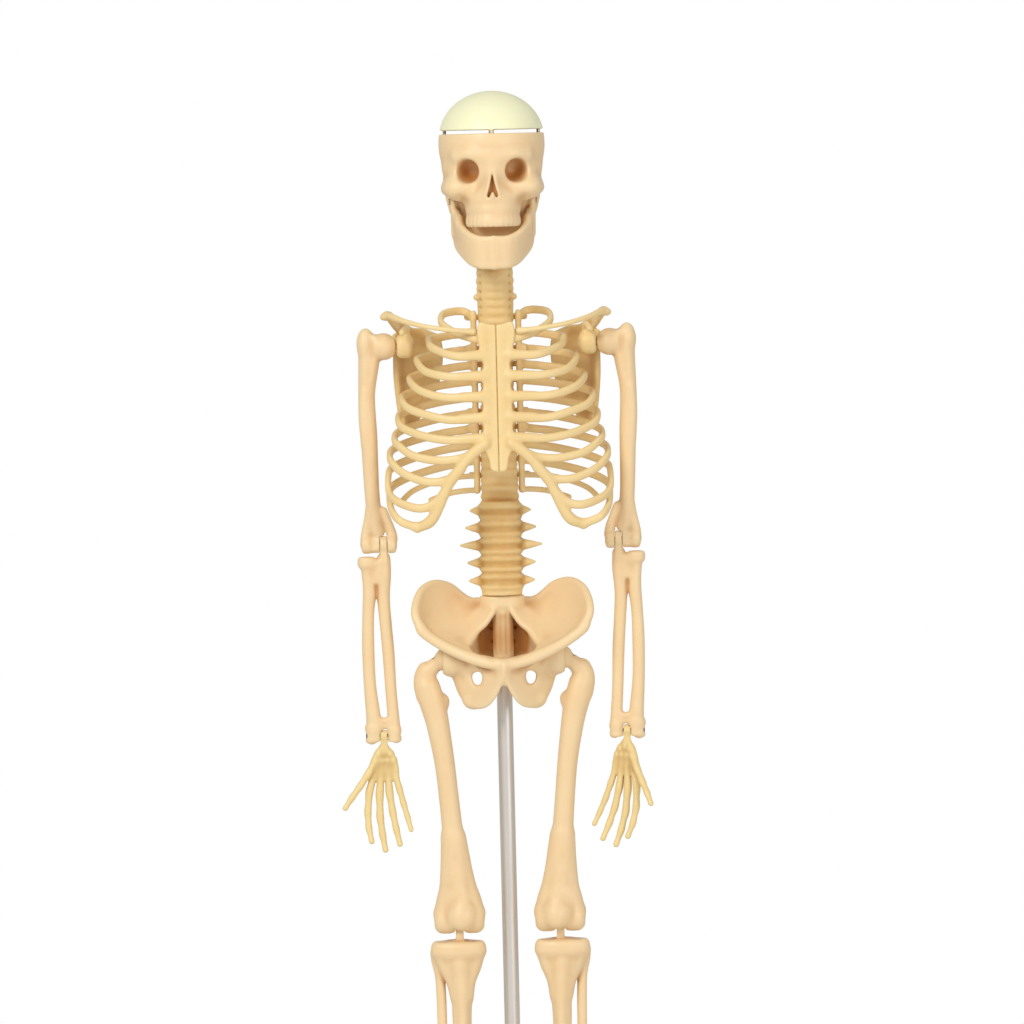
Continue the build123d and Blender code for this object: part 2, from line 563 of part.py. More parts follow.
def shin():
    tibia = limb([
        (19.9, 0.6, 124.2, 9.6, 6.0), (20.0, 0.6, 121.8, 10.0, 6.2), (19.7, 0.4, 112.0, 6.6, 5.4),
        (19.2, 0.0, 102.0, 4.4, 4.6), (19.2, 0.6, 90.0, 3.7, 4.0), (19.3, 2.4, 68.0, 3.2, 3.5),
        (19.3, 4.2, 55.0, 3.4, 3.6), (18.4, 5.0, 47.5, 4.7, 4.4),
    ])  # fmt: skip
    fibula = limb([
        (28.2, 2.6, 121.0, 2.2, 2.3), (28.5, 2.6, 118.0, 2.6, 2.7), (27.3, 2.6, 104.0, 2.0, 2.0),
        (26.8, 3.0, 80.0, 1.7, 1.8), (25.0, 4.4, 57.0, 1.9, 1.9), (24.0, 5.0, 47.0, 2.3, 2.6),
        (23.8, 5.0, 38.2, 1.5, 2.2),
    ])  # fmt: skip
    inner_ankle = limb([(15.6, 5.0, 49.0, 2.0, 3.6), (15.4, 5.0, 43.0, 1.8, 3.2), (15.6, 5.0, 39.0, 1.2, 2.2)])
    roof = block((15.0, 24.0), (2.2, 7.8), (46.0, 50.0))
    tongue = cross_pin(*KNEE_TONGUE, KNEE, 3.1)
    stem = block(KNEE_TONGUE, (-1.9, 1.9), (122.0, KNEE[2]))
    neck = block((22.0, 27.5), (0.6, 4.2), (115.0, 121.0))
    bone = joined(tibia, fibula, inner_ankle, roof, tongue, stem, neck)
    bone = bone - fork_cut(ANKLE_TONGUE, ANKLE, up=3.9, down=6.0, front=9.0, back=9.0)
    bone = bone - cross_pin(15.0, 24.0, KNEE, KNEE_PIN_R + GAP)
    return bone - cross_pin(13.0, 25.4, ANKLE, ANKLE_PIN_R + GAP / 2)


TOES = [  # root x, knuckle x, tip x, tip y, radius, from the big toe outward
    (17.0, 14.6, 13.6, -44.5, 1.9),
    (18.6, 18.2, 18.0, -44.0, 1.45),
    (20.4, 21.4, 22.0, -41.6, 1.4),
    (22.0, 24.4, 25.8, -38.0, 1.35),
    (23.6, 27.2, 29.2, -33.6, 1.35),
]
SOLE = 21.0


def foot():
    tongue = cross_pin(*ANKLE_TONGUE, ANKLE, 3.2)
    stem = block(ANKLE_TONGUE, (2.6, 7.4), (SOLE + 13.0, ANKLE[2]))
    talus = ellipsoid((19.6, 3.0, SOLE + 12.0), (5.0, 7.5, 3.9))
    heel = ellipsoid((19.8, 11.5, SOLE + 6.6), (4.8, 7.8, 6.4))
    arch = ellipsoid((19.8, -6.0, SOLE + 7.4), (6.4, 11.0, 4.4))
    pieces = [tongue, stem, talus, heel, arch]
    for root, knuckle, tip, tip_y, radius in TOES:
        ground = SOLE + radius
        instep = (0.5 * (root + knuckle), -18.0, SOLE + 6.6)
        end = (tip, tip_y, ground + 0.2)
        pieces.append(tube([(root, -8.0, SOLE + 8.0), instep, (knuckle, -29.5, ground + 1.4), end], radius))
        pieces.append(ball(end, radius * 1.03))
    bone = joined(*pieces) & block((0, 40), (-60, 30), (SOLE, ANKLE[2] + 8))
    return bone - cross_pin(15.0, 24.0, ANKLE, ANKLE_PIN_R + GAP)


keep_pair("femur", femur())
keep_pair("knee_pin", cross_pin(11.6, 26.6, KNEE, KNEE_PIN_R))
keep_pair("shin", shin())
keep_pair("ankle_pin", cross_pin(14.2, 24.9, ANKLE, ANKLE_PIN_R))
keep_pair("foot", foot())

# ---------------------------------------------------------------- skull
CAP_FOOT = CAP_CUT + CAP_GAP
CAP_CENTRE, CAP_RISE = 432.0, HEIGHT - 432.0
BRAIN_Y = 4.0
CAP_PIN_PLACES = [(-18.6, SKULL_Y), (18.6, SKULL_Y), (0.0, SKULL_Y - 24.1), (0.0, SKULL_Y + 24.1)]


def skull_cap():
    radii = (SKULL_HALF_WIDTH, SKULL_HALF_DEPTH, CAP_RISE)
    outer = ellipsoid((0, SKULL_Y, CAP_CENTRE), radii)
    inner = ellipsoid((0, SKULL_Y, CAP_CENTRE), tuple(r - SKULL_WALL for r in radii))
    dome = (outer - inner) & block((-30, 30), (-40, 40), (CAP_FOOT, HEIGHT + 5))
    for x, y in CAP_PIN_PLACES:
        dome = dome - upright(x, y, CAP_FOOT - 1, CAP_FOOT + 2.2, CAP_PIN_R + GAP / 2)
    return dome


def cap_pins():
    return Compound([upright(x, y, CAP_CUT - 2.4, CAP_FOOT + 2.0, CAP_PIN_R) for x, y in CAP_PIN_PLACES])


def cranium():
    vault = ellipsoid((0, SKULL_Y, CAP_CUT), (SKULL_HALF_WIDTH, SKULL_HALF_DEPTH, 29.0))
    vault = vault & block((-30, 30), (-40, 40), (395, CAP_CUT))
    face = limb([
        (0, -12.0, 426.0, 17.6, 11.0), (0, -13.0, 416.0, 16.0, 11.5), (0, -15.0, 409.0, 11.5, 11.0),
        (0, -16.0, 398.4, 9.6, 10.4),
    ])  # fmt: skip
    foot = limb([(0, 4.0, 389.0, 7.6, 6.4), (0, 5.0, 396.0, 9.5, 10.0), (0, 5.0, 407.0, 12.5, 15.0)])
    nose = rod_between((0, -22.4, 421.0), (0, -25.6, 414.6), 2.2, 2.6)
    pieces = [face, foot, nose]
    for side in (-1, 1):
        pieces.append(ellipsoid((side * 13.6, -18.6, 412.6), (5.0, 5.0, 3.6)))
        arch = [(14.6, -18.0, 412.6), (18.2, -11.0, 412.6), (17.6, -2.0, 412.4), (13.0, 3.6, 412.8)]
        pieces.append(tube([(side * x, y, z) for x, y, z in arch], 1.7))
        pieces.append(cross_pin(side * 6.0, side * 13.2, JAW, 3.0))
    skull = joined(vault, *pieces)
    skull = skull - ellipsoid((0, BRAIN_Y, CAP_CUT), (18.0, 20.4, 21.0))
    nostril = [(-0.4, 417.4), (0.4, 417.4), (2.0, 412.4), (1.9, 409.8), (-1.9, 409.8), (-2.0, 412.4)]
    nostril = make_face(Polyline(*nostril, close=True))
    skull = skull - Pos(0, -20.0, 0) * extrude(Plane.XZ * nostril, 12.0)
    for side in (-1, 1):
        skull = skull - ellipsoid((side * 9.3, -22.5, 419.6), (4.6, 8.6, 4.7))
        skull = skull - cross_pin(side * 7.0, side * 14.0, JAW, JAW_PIN_R + GAP / 2)
    for x, y in CAP_PIN_PLACES:
        skull = skull - upright(x, y, CAP_CUT - 2.6, CAP_CUT + 1, CAP_PIN_R + GAP)
    return skull - upright(0, NECK_Y, 380.0, NECK_TOP + 9.4, NECK_PIN_R + GAP)


def jaw():
    shell = ellipsoid((0, -4.0, 397.5), (16.2, 22.4, 15.2)) - ellipsoid((0, -4.0, 397.5), (13.7, 19.9, 12.8))
    underside = Pos(0, 0, 385.0) * extrude(scale(Circle(1), by=(9.5, 12.5, 1)), 12.0, both=True)
    arch = (shell - underside) & block((-20, 20), (-30, 0.5), (382.0, 394.4))
    body = arch - block((-20, 20), (-4.0, 12.0), (370, 386.5))
    pieces = []
    for side in (-1, 1):
        ramus = [(side * 15.0, -1.0, 391.0), (side * 15.3, -0.2, 399.0), (side * 14.9, 1.0, 406.0)]
        pieces.append(tube(ramus, 1.35))
        pieces.append(block(sorted((side * 13.7, side * 16.1)), (-5.2, 3.6), (389.0, 400.0)))
        pieces.append(cross_pin(side * 13.6, side * 16.2, JAW, 2.8))
    teeth = [(-9.6, -19.0, 394.6), (-6.0, -22.6, 394.4), (0.0, -24.0, 394.4)]
    teeth += [(-x, y, z) for x, y, z in teeth[1::-1]]
    pieces.append(tube(teeth, 1.3))
    bone = joined(body, *pieces)
    for side in (-1, 1):
        bone = bone - cross_pin(side * 12.0, side * 17.0, JAW, JAW_PIN_R + GAP)
    return bone


def jaw_pin():
    return joined(cross_pin(8.0, 16.3, JAW, JAW_PIN_R), cross_pin(16.3, 16.9, JAW, 1.2))


parts["cranium"] = cranium()
parts["skull_cap"] = skull_cap()
parts["cap_pins"] = cap_pins()
parts["jaw"] = jaw()
keep_pair("jaw_pin", jaw_pin())

for name, shape in parts.items():
    export_step(shape, f"parts/{name}.step")
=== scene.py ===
"""Looks of a desk-top human skeleton teaching model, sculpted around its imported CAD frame.

Every bone is modelled in millimetres as signed distances on a grid, meshed, and scaled to metres. Paired
bones are sculpted on the +X side, the skeleton's own left, and mirrored. The skeleton faces -Y.
"""

import json
import math

import bpy
import numpy as np
from mathutils import Matrix, Vector


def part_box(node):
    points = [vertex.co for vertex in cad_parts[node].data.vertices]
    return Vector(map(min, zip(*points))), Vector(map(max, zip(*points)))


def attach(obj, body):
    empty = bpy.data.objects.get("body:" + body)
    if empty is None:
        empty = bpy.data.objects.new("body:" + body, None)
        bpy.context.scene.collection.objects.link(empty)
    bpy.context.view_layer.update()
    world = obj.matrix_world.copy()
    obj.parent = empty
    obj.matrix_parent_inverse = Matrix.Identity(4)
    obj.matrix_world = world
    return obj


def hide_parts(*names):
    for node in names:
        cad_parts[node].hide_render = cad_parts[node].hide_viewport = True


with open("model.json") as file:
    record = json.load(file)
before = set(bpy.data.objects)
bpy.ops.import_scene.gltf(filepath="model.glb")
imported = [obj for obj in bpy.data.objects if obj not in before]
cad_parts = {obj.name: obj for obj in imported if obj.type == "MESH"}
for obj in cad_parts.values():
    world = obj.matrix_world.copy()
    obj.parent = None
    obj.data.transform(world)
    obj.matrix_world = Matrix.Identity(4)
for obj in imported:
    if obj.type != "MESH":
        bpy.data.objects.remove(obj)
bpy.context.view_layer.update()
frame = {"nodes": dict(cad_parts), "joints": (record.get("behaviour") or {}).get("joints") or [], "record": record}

MM = 0.001
FAR = 4.0  # distances are only kept up to this, in millimetres


def joint_centre(name):
    """A hinge's centre in millimetres."""
    return np.array(next(j["pos_m"] for j in frame["joints"] if j["name"] == name)) / MM


def node_box(name):
    low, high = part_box(name)
    return np.array(low) / MM, np.array(high) / MM


SHOULDER, ELBOW, WRIST = (joint_centre(f"{j}_left") for j in ("shoulder", "elbow", "wrist"))
HIP, KNEE, ANKLE = (joint_centre(f"{j}_left") for j in ("hip", "knee", "ankle"))
JAW = joint_centre("jaw_hinge")
CROWN = node_box("skull_cap")[1][2]
CAP_FOOT = node_box("skull_cap")[0][2]
CAP_CUT = node_box("cranium")[1][2]
SOLE = node_box("foot_left")[0][2]
ROD_RADIUS, ROD_BORE = 3.0, 3.1
ROD_Y = node_box("stand_rod")[0][1] + ROD_RADIUS
ROD_TOP = node_box("stand_rod")[1][2]
NECK_TOP = node_box("backbone")[1][2]
SPINE_FOOT = node_box("backbone")[0][2]


# ------------------------------------------------------------------ sculpting tools
def curve(points, per_span=8):
    """A Catmull-Rom curve through rows of x, y, z and anything else."""
    p = np.array(points, float)
    ends = np.vstack([2 * p[0] - p[1], p, 2 * p[-1] - p[-2]])
    t = np.linspace(0, 1, per_span, endpoint=False)[:, None]
    spans = []
    for a, b, c, d in zip(ends, ends[1:], ends[2:], ends[3:]):
        bend, twist = 2 * a - 5 * b + 4 * c - d, 3 * b - a - 3 * c + d
        spans.append(0.5 * (2 * b + (c - a) * t + bend * t**2 + twist * t**3))
    return np.vstack(spans + [p[-1:]])


def even(rows, pitch):
    """The same line with its rows evenly spaced along it."""
    steps = np.linalg.norm(np.diff(rows[:, :3], axis=0), axis=1)
    along = np.concatenate([[0], np.cumsum(steps)])
    count = max(2, int(along[-1] / pitch) + 1)
    at = np.linspace(0, along[-1], count)
    return np.stack([np.interp(at, along, column) for column in rows.T], axis=1)


def strand(points, radius=None, pitch=0.45):
    """Beads along a curve; each point is x, y, z and, unless radius is given, its own radius."""
    rows = np.array(points, float)
    if radius is not None:
        rows = np.column_stack([rows, np.full(len(rows), radius)])
    return even(curve(rows), pitch)


def ribbon(points, radius, half_height, pitch=0.45):
    """A strand that is taller than it is thick: three strands side by side in z."""
    beads = strand(points, radius, pitch)
    return np.vstack([beads + [0, 0, lift, 0] for lift in (-half_height, 0.0, half_height)])


def sheet(rows, pitch=0.45):
    """Beads over a curved sheet, whose rows are equally long lists of x, y, z, radius points."""
    lines = [curve(row, 6) for row in rows]
    across = [curve(np.array(points), 6) for points in zip(*lines)]
    longest = max(np.linalg.norm(np.diff(line[:, :3], axis=0), axis=1).sum() for line in across)
    count = int(longest / pitch) + 2
    resampled = []
    for line in across:
        steps = np.linalg.norm(np.diff(line[:, :3], axis=0), axis=1)
        along = np.concatenate([[0], np.cumsum(steps)])
        at = np.linspace(0, along[-1], count)
        resampled.append(np.stack([np.interp(at, along, column) for column in line.T], axis=1))
    return np.vstack([even(np.array(line), pitch) for line in zip(*resampled)])


def turned(x, y, z, centre, turn):
    """Grid coordinates relative to a centre, in axes turned by degrees about X, then Y, then Z."""
    x, y, z = x - centre[0], y - centre[1], z - centre[2]
    for axis, angle in ((2, turn[2]), (1, turn[1]), (0, turn[0])):
        if angle:
            c, s = math.cos(math.radians(angle)), math.sin(math.radians(angle))
            if axis == 0:
                y, z = c * y + s * z, c * z - s * y
            elif axis == 1:
                z, x = c * z + s * x, c * x - s * z
            else:
                x, y = c * x + s * y, c * y - s * x
    return x, y, z


def rounded(ring, flat, edge):
    """The distance to a rounded disc from the distances to its rim and to its faces."""
    outside = np.sqrt(np.maximum(ring, 0) ** 2 + np.maximum(flat, 0) ** 2)
    return (outside + np.minimum(np.maximum(ring, flat), 0) - edge).astype(np.float32)


class Clay:
    """A block of space that solids are added to and cut from."""

    def __init__(self, low, high, step):
        self.low = np.array(low, float)
        self.step = step
        self.count = np.ceil((np.array(high, float) - self.low) / step).astype(int) + 1
        self.field = np.full(self.count, FAR, np.float32)

    def _window(self, low, high, margin):
        a = np.clip(np.floor((low - margin - self.low) / self.step).astype(int), 0, self.count)
        b = np.clip(np.ceil((high + margin - self.low) / self.step).astype(int) + 1, 0, self.count)
        axes = [(np.arange(a[i], b[i]) * self.step + self.low[i]).astype(np.float32) for i in range(3)]
        place = tuple(slice(a[i], b[i]) for i in range(3))
        return place, axes[0][:, None, None], axes[1][None, :, None], axes[2][None, None, :]

    def _join(self, place, distance, blend):
        old = self.field[place]
        overlap = np.maximum(blend - np.abs(old - distance), 0) / blend
        self.field[place] = np.minimum(old, distance) - overlap**2 * blend / 4

    def _carve(self, place, distance, blend):
        old = self.field[place]
        overlap = np.maximum(blend - np.abs(old + distance), 0) / blend
        self.field[place] = np.maximum(old, -distance) + overlap**2 * blend / 4

    def _place(self, place, distance, blend, cut):
        (self._carve if cut else self._join)(place, distance, blend)

    def _keep(self, distance, blend):
        self._carve((slice(None),) * 3, -distance, blend)

    def line(self, axis):
        """The grid's coordinates along X, Y or Z, shaped to act on the whole block."""
        values = (np.arange(self.count[axis]) * self.step + self.low[axis]).astype(np.float32)
        return values.reshape([-1 if i == axis else 1 for i in range(3)])

    def beads(self, rows, blend=0.8, cut=False):
        """Adds or cuts the union of many spheres, x, y, z, radius each."""
        radii = rows[:, 3:4]
        low, high = (rows[:, :3] - radii).min(0), (rows[:, :3] + radii).max(0)
        place, x, y, z = self._window(low, high, blend + 2 * self.step)
        x, y, z = x.ravel(), y.ravel(), z.ravel()
        if not (len(x) and len(y) and len(z)):
            return
        distance = np.full((len(x), len(y), len(z)), FAR, np.float32)
        corner = np.array([x[0], y[0], z[0]])
        for bead in rows:
            reach = bead[3] + blend + 2 * self.step
            a = np.maximum(((bead[:3] - reach - corner) / self.step).astype(int), 0)
            b = ((bead[:3] + reach - corner) / self.step).astype(int) + 2
            dx = (x[a[0] : b[0]] - bead[0]) ** 2
            dy = (y[a[1] : b[1]] - bead[1]) ** 2
            dz = (z[a[2] : b[2]] - bead[2]) ** 2
            near = distance[a[0] : b[0], a[1] : b[1], a[2] : b[2]]
            square = dx[:, None, None] + dy[None, :, None] + dz[None, None, :]
            np.minimum(near, np.sqrt(square) - bead[3], out=near)
        self._place(place, distance, blend, cut)

    def blob(self, centre, radii, turn=(0, 0, 0), blend=1.0, cut=False, low_radius=None):
        """An ellipsoid; low_radius is its own radius below its centre."""
        centre = np.array(centre, float)
        reach = max(*radii, low_radius or 0)
        place, x, y, z = self._window(centre - reach, centre + reach, blend + 2 * self.step)
        x, y, z = turned(x, y, z, centre, turn)
        tall = radii[2]
        if low_radius is not None:
            tall = np.where(z < 0, np.float32(low_radius), np.float32(radii[2]))
        scaled = np.sqrt((x / radii[0]) ** 2 + (y / radii[1]) ** 2 + (z / tall) ** 2)
        slope = np.sqrt((x / radii[0] ** 2) ** 2 + (y / radii[1] ** 2) ** 2 + (z / tall**2) ** 2)
        distance = scaled * (scaled - 1) / np.maximum(slope, 1e-4)
        self._place(place, distance.astype(np.float32), blend, cut)

    def box(self, low, high, edge=0.3, blend=0.3, cut=False):
        """A box with rounded edges."""
        low, high = np.array(low, float), np.array(high, float)
        half = (high - low) / 2 - edge
        centre = (low + high) / 2
        place, x, y, z = self._window(low, high, blend + 2 * self.step)
        q = [np.abs(v - c) - h for v, c, h in zip((x, y, z), centre, half)]
        outside = np.sqrt(sum(np.maximum(v, 0) ** 2 for v in q))
        distance = outside + np.minimum(np.maximum(np.maximum(q[0], q[1]), q[2]), 0) - edge
        self._place(place, distance.astype(np.float32), blend, cut)

    def drum(self, centre, radii, half, axis=2, edge=0.3, blend=0.5, cut=False):
        """An oval disc whose axis is X (0), Y (1) or Z (2); radii are for the other two axes in order."""
        centre = np.array(centre, float)
        size = np.insert(np.array(radii, float), axis, half)
        place, x, y, z = self._window(centre - size, centre + size, blend + 2 * self.step)
        local = [x - centre[0], y - centre[1], z - centre[2]]
        along = local.pop(axis)
        u, v = local
        a, b = radii[0] - edge, radii[1] - edge
        scaled = np.sqrt((u / a) ** 2 + (v / b) ** 2)
        slope = np.sqrt((u / a**2) ** 2 + (v / b**2) ** 2)
        ring = scaled * (scaled - 1) / np.maximum(slope, 1e-4)
        flat = np.abs(along) - (half - edge)
        self._place(place, rounded(ring, flat, edge), blend, cut)

    def outline(self, corners, across, low, high, edge=0.4, blend=0.6, cut=False):
        """A flat shape drawn in two axes and as thick as low to high in the third, across (0, 1 or 2)."""
        corners = np.array(corners, float)
        corners = curve(np.vstack([corners[-1:], corners, corners[:2]]), 6)[6:-7]
        size_low, size_high = np.insert(corners.min(0), across, low), np.insert(corners.max(0), across, high)
        place, x, y, z = self._window(size_low, size_high, blend + 2 * self.step)
        local = [x, y, z]
        along = local.pop(across)
        u, v = local
        gap = np.full(np.broadcast_shapes(u.shape, v.shape), 1e9, np.float32)
        inside = np.zeros(gap.shape, bool)
        for (u0, v0), (u1, v1) in zip(corners, np.roll(corners, -1, axis=0)):
            du, dv = u1 - u0, v1 - v0
            t = np.clip(((u - u0) * du + (v - v0) * dv) / (du * du + dv * dv + 1e-9), 0, 1)
            gap = np.minimum(gap, (u - u0 - t * du) ** 2 + (v - v0 - t * dv) ** 2)
            crosses = (v0 > v) != (v1 > v)
            inside ^= crosses & (u < (v - v0) * du / (dv if abs(dv) > 1e-9 else 1e-9) + u0)
        ring = np.sqrt(gap) * np.where(inside, -1, 1) + edge
        flat = np.abs(along - (low + high) / 2) - ((high - low) / 2 - edge)
        self._place(place, rounded(ring, flat, edge), blend, cut)

    def slab(self, point, normal, half, blend):
        """Keeps only what lies within half a thickness of an upright plane."""
        x, y = self.line(0) - point[0], self.line(1) - point[1]
        self._keep(np.abs(x * normal[0] + y * normal[1]) - half, blend)

    def level(self, height, keep_below, blend=0.15):
        """Cuts everything above, or below, a height."""
        z = self.line(2)
        self._keep(z - height if keep_below else height - z, blend)

    def blank(self):
        """An empty block of the same size and place."""
        other = Clay(self.low, self.low, self.step)
        other.count = self.count
        other.field = np.full(self.count, FAR, np.float32)
        return other

    def merge(self, other, blend):
        """Adds another block of the same size and place."""
        self._join((slice(None),) * 3, other.field, blend)

    def tube(self, points, blend=0.8, radius=None, pitch=0.45, cut=False):
        """A strand through points that are x, y, z and, unless radius is given, a radius each."""
        self.beads(strand(points, radius, pitch), blend, cut)

    def plate(self, rows, blend=0.8, pitch=0.45):
        """A curved sheet through rows of points that are x, y, z, radius each."""
        self.beads(sheet(rows, pitch), blend)

    def hub(self, joint, x, radius, half, edge, blend, cut=False):
        """A disc across X about a joint's axis."""
        self.drum((x, joint[1], joint[2]), (radius, radius), half, 0, edge, blend, cut)

    def pin_hole(self, joint, start, end, radius):
        """A hole along a joint's axis, from one x to another."""
        self.bore(0, (start, joint[1], joint[2]), (end, joint[1], joint[2]), radius)

    def bore(self, axis, start, end, radius):
        """A round hole along X, Y or Z between two points on its axis."""
        start, end = np.array(start, float), np.array(end, float)
        middle = (start + end) / 2
        self.drum(middle, (radius, radius), abs(end - start)[axis] / 2, axis, edge=0.05, blend=0.15, cut=True)


CORNERS = [(i, j, k) for i in (0, 1) for j in (0, 1) for k in (0, 1)]
CAVITY_REACH = 2.4  # how far around a point is looked at to tell a recess from a ridge, for the painted shade and highlight, in millimetres


def blurred(inside, reach):
    """The share of solid in the cube around each grid point."""
    share = inside.astype(np.float32)
    width = 2 * reach + 1
    for axis in range(3):
        padding = [(0, 0)] * 3
        padding[axis] = (reach + 1, reach)
        total = np.cumsum(np.pad(share, padding), axis=axis, dtype=np.float64)
        front = np.take(total, range(width, total.shape[axis]), axis=axis)
        back = np.take(total, range(0, total.shape[axis] - width), axis=axis)
        share = ((front - back) / width).astype(np.float32)
    return share


def skin(clay, reach=CAVITY_REACH):
    """Points, four-sided faces and recess values of the surface of a block (surface nets)."""
    field = np.pad(clay.field, 1, constant_values=FAR)
    low, step = clay.low - clay.step, clay.step
    inside = field < 0
    size = np.array(field.shape) - 1
    corners = np.zeros(tuple(size), np.int8)
    for i, j, k in CORNERS:
        corners += inside[i : i + size[0], j : j + size[1], k : k + size[2]]
    active = (corners > 0) & (corners < 8)
    cells = np.argwhere(active)
    number = np.full(active.shape, -1, np.int64)
    number[active] = np.arange(len(cells))
    total, hits = np.zeros((len(cells), 3)), np.zeros(len(cells))
    for axis in range(3):
        for corner in CORNERS:
            if corner[axis]:
                continue
            far = np.array(corner)
            far[axis] = 1
            a = field[tuple((cells + corner).T)]
            b = field[tuple((cells + far).T)]
            crossed = (a < 0) != (b < 0)
            share = np.where(crossed, a / np.where(crossed, a - b, 1), 0)
            spot = np.tile(np.array(corner, float), (len(cells), 1))
            spot[:, axis] = share
            total += spot * crossed[:, None]
            hits += crossed
    points = (cells + total / hits[:, None]) * step + low
    faces = []
    for axis in range(3):
        u, v = (axis + 1) % 3, (axis + 2) % 3
        one = [slice(1, -1)] * 3
        one[axis] = slice(0, -1)
        two = list(one)
        two[axis] = slice(1, None)
        first, second = inside[tuple(one)], inside[tuple(two)]
        edges = np.argwhere(first != second)
        outward = first[tuple(edges.T)]
        edges[:, u] += 1
        edges[:, v] += 1
        ring = []
        for du, dv in ((-1, -1), (0, -1), (0, 0), (-1, 0)):
            cell = edges.copy()
            cell[:, u] += du
            cell[:, v] += dv
            ring.append(number[tuple(cell.T)])
        ring = np.stack(ring, axis=1)
        faces.append(np.where(outward[:, None], ring, ring[:, ::-1]))
    faces = np.vstack(faces)
    share = blurred(inside, max(2, round(reach / step)))
    nearest = np.round((points - low) / step).astype(int)
    recess = share[tuple(np.clip(nearest, 0, np.array(share.shape) - 1).T)]
    return points, faces, recess


def relaxed(points, faces, rounds=2, amount=0.5):
    """Evens out the grid's stepping by moving each point towards its neighbours."""
    edges = np.vstack([faces[:, [i, (i + 1) % 4]] for i in range(4)])
    counts = np.bincount(edges[:, 0], minlength=len(points)) + np.bincount(edges[:, 1], minlength=len(points))
    for _ in range(rounds):
        total = np.zeros_like(points)
        for axis in range(points.shape[1]):
            total[:, axis] += np.bincount(edges[:, 0], points[edges[:, 1], axis], len(points))
            total[:, axis] += np.bincount(edges[:, 1], points[edges[:, 0], axis], len(points))
        points = points + amount * (total / counts[:, None] - points)
    return points


def piece(name, points, faces, recess, material, body, nodes):
    """A mesh object from millimetre points, riding on its body in place of its CAD nodes."""
    mesh = bpy.data.meshes.new(name)
    mesh.vertices.add(len(points))
    mesh.vertices.foreach_set("co", (points * MM).astype(np.float32).ravel())
    mesh.loops.add(faces.size)
    mesh.loops.foreach_set("vertex_index", faces.astype(np.int32).ravel())
    mesh.polygons.add(len(faces))
    mesh.polygons.foreach_set("loop_start", np.arange(0, faces.size, 4, dtype=np.int32))
    mesh.polygons.foreach_set("loop_total", np.full(len(faces), 4, np.int32))
    mesh.update(calc_edges=True)
    mesh.validate()
    mesh.polygons.foreach_set("use_smooth", np.ones(len(mesh.polygons), bool))
    values = mesh.attributes.new("recess", "FLOAT", "POINT")
    values.data.foreach_set("value", recess.astype(np.float32))
    mesh.materials.append(material)
    thing = bpy.data.objects.new(name, mesh)
    bpy.context.scene.collection.objects.link(thing)
    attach(thing, body)
    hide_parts(*nodes)
    return thing


def finished(clay, reach, shades):
    """A block's smoothed skin; shades add painted shade inside ellipsoids: centre, radii and amount each."""
    points, faces, recess = skin(clay, reach)
    points = relaxed(points, faces)
    recess = relaxed(recess[:, None].astype(float), faces, rounds=8, amount=0.8)[:, 0]
    # painted shade: each ellipsoid raises the recess value, which darkens the colour
    for centre, radii, amount in shades:
        away = np.sqrt((((points - centre) / radii) ** 2).sum(axis=1))
        recess += amount * np.clip(3.0 * (1.0 - away), 0.0, 1.0)
    return points, faces, recess


def make(name, clay, material, body, node, reach=CAVITY_REACH, shades=()):
    points, faces, recess = finished(clay, reach, shades)
    piece(name, points, faces, recess, material, body, [node])


def make_side(side, name, clay, material, body, node, slot, reach=CAVITY_REACH, shades=()):
    """One side's bone; the right one is the mirror image of the clay."""
    make_sides([side], name, finished(clay, reach, shades), material, body, node)


def make_pair(name, clay, material, body, node, reach=CAVITY_REACH, shades=()):
    """The +X side bone and its mirror image."""
    make_sides(["left", "right"], name, finished(clay, reach, shades), material, body, node)


def make_sides(sides, name, surface, material, body, node):
    points, faces, recess = surface
    for side in sides:
        rides_on = body if body == "trunk" else f"{body}_{side}"
        if side == "right":
            points, faces = points * [-1, 1, 1], faces[:, ::-1]
        piece(f"{name}_{side}", points, faces, recess, material, rides_on, [f"{node}_{side}"])


# ------------------------------------------------------------------ materials
def shader(name):
    material = bpy.data.materials.new(name)
    material.use_nodes = True
    tree = material.node_tree
    return material, tree, tree.nodes["Principled BSDF"]


def noise(tree, coordinates, scale, detail=2.0):
    texture = tree.nodes.new("ShaderNodeTexNoise")
    texture.inputs["Scale"].default_value = scale
    texture.inputs["Detail"].default_value = detail
    tree.links.new(coordinates, texture.inputs["Vector"])
    return texture.outputs["Fac"]


def ranged(tree, value, from_low, from_high, to_low, to_high):
    node = tree.nodes.new("ShaderNodeMapRange")
    tree.links.new(value, node.inputs["Value"])
    limits = {"From Min": from_low, "From Max": from_high, "To Min": to_low, "To Max": to_high}
    for socket, number in limits.items():
        node.inputs[socket].default_value = number
    return node.outputs["Result"]


def mixed(tree, share, first, second):
    node = tree.nodes.new("ShaderNodeMix")
    node.data_type = "RGBA"
    tree.links.new(share, node.inputs["Factor"])
    for socket, colour in (("A", first), ("B", second)):
        target = next(s for s in node.inputs if s.name == socket and s.type == "RGBA")
        if isinstance(colour, tuple):
            target.default_value = (*colour, 1.0)
        else:
            tree.links.new(colour, target)
    return next(s for s in node.outputs if s.type == "RGBA")


def grained(tree, surface, marks, low, high, strength, depth):
    """Marks that vary a surface's roughness and stand up a little from it."""
    tree.links.new(ranged(tree, marks, 0.3, 0.7, low, high), surface.inputs["Roughness"])
    bump = tree.nodes.new("ShaderNodeBump")
    bump.inputs["Strength"].default_value = strength
    bump.inputs["Distance"].default_value = depth
    tree.links.new(marks, bump.inputs["Height"])
    tree.links.new(bump.outputs["Normal"], surface.inputs["Normal"])


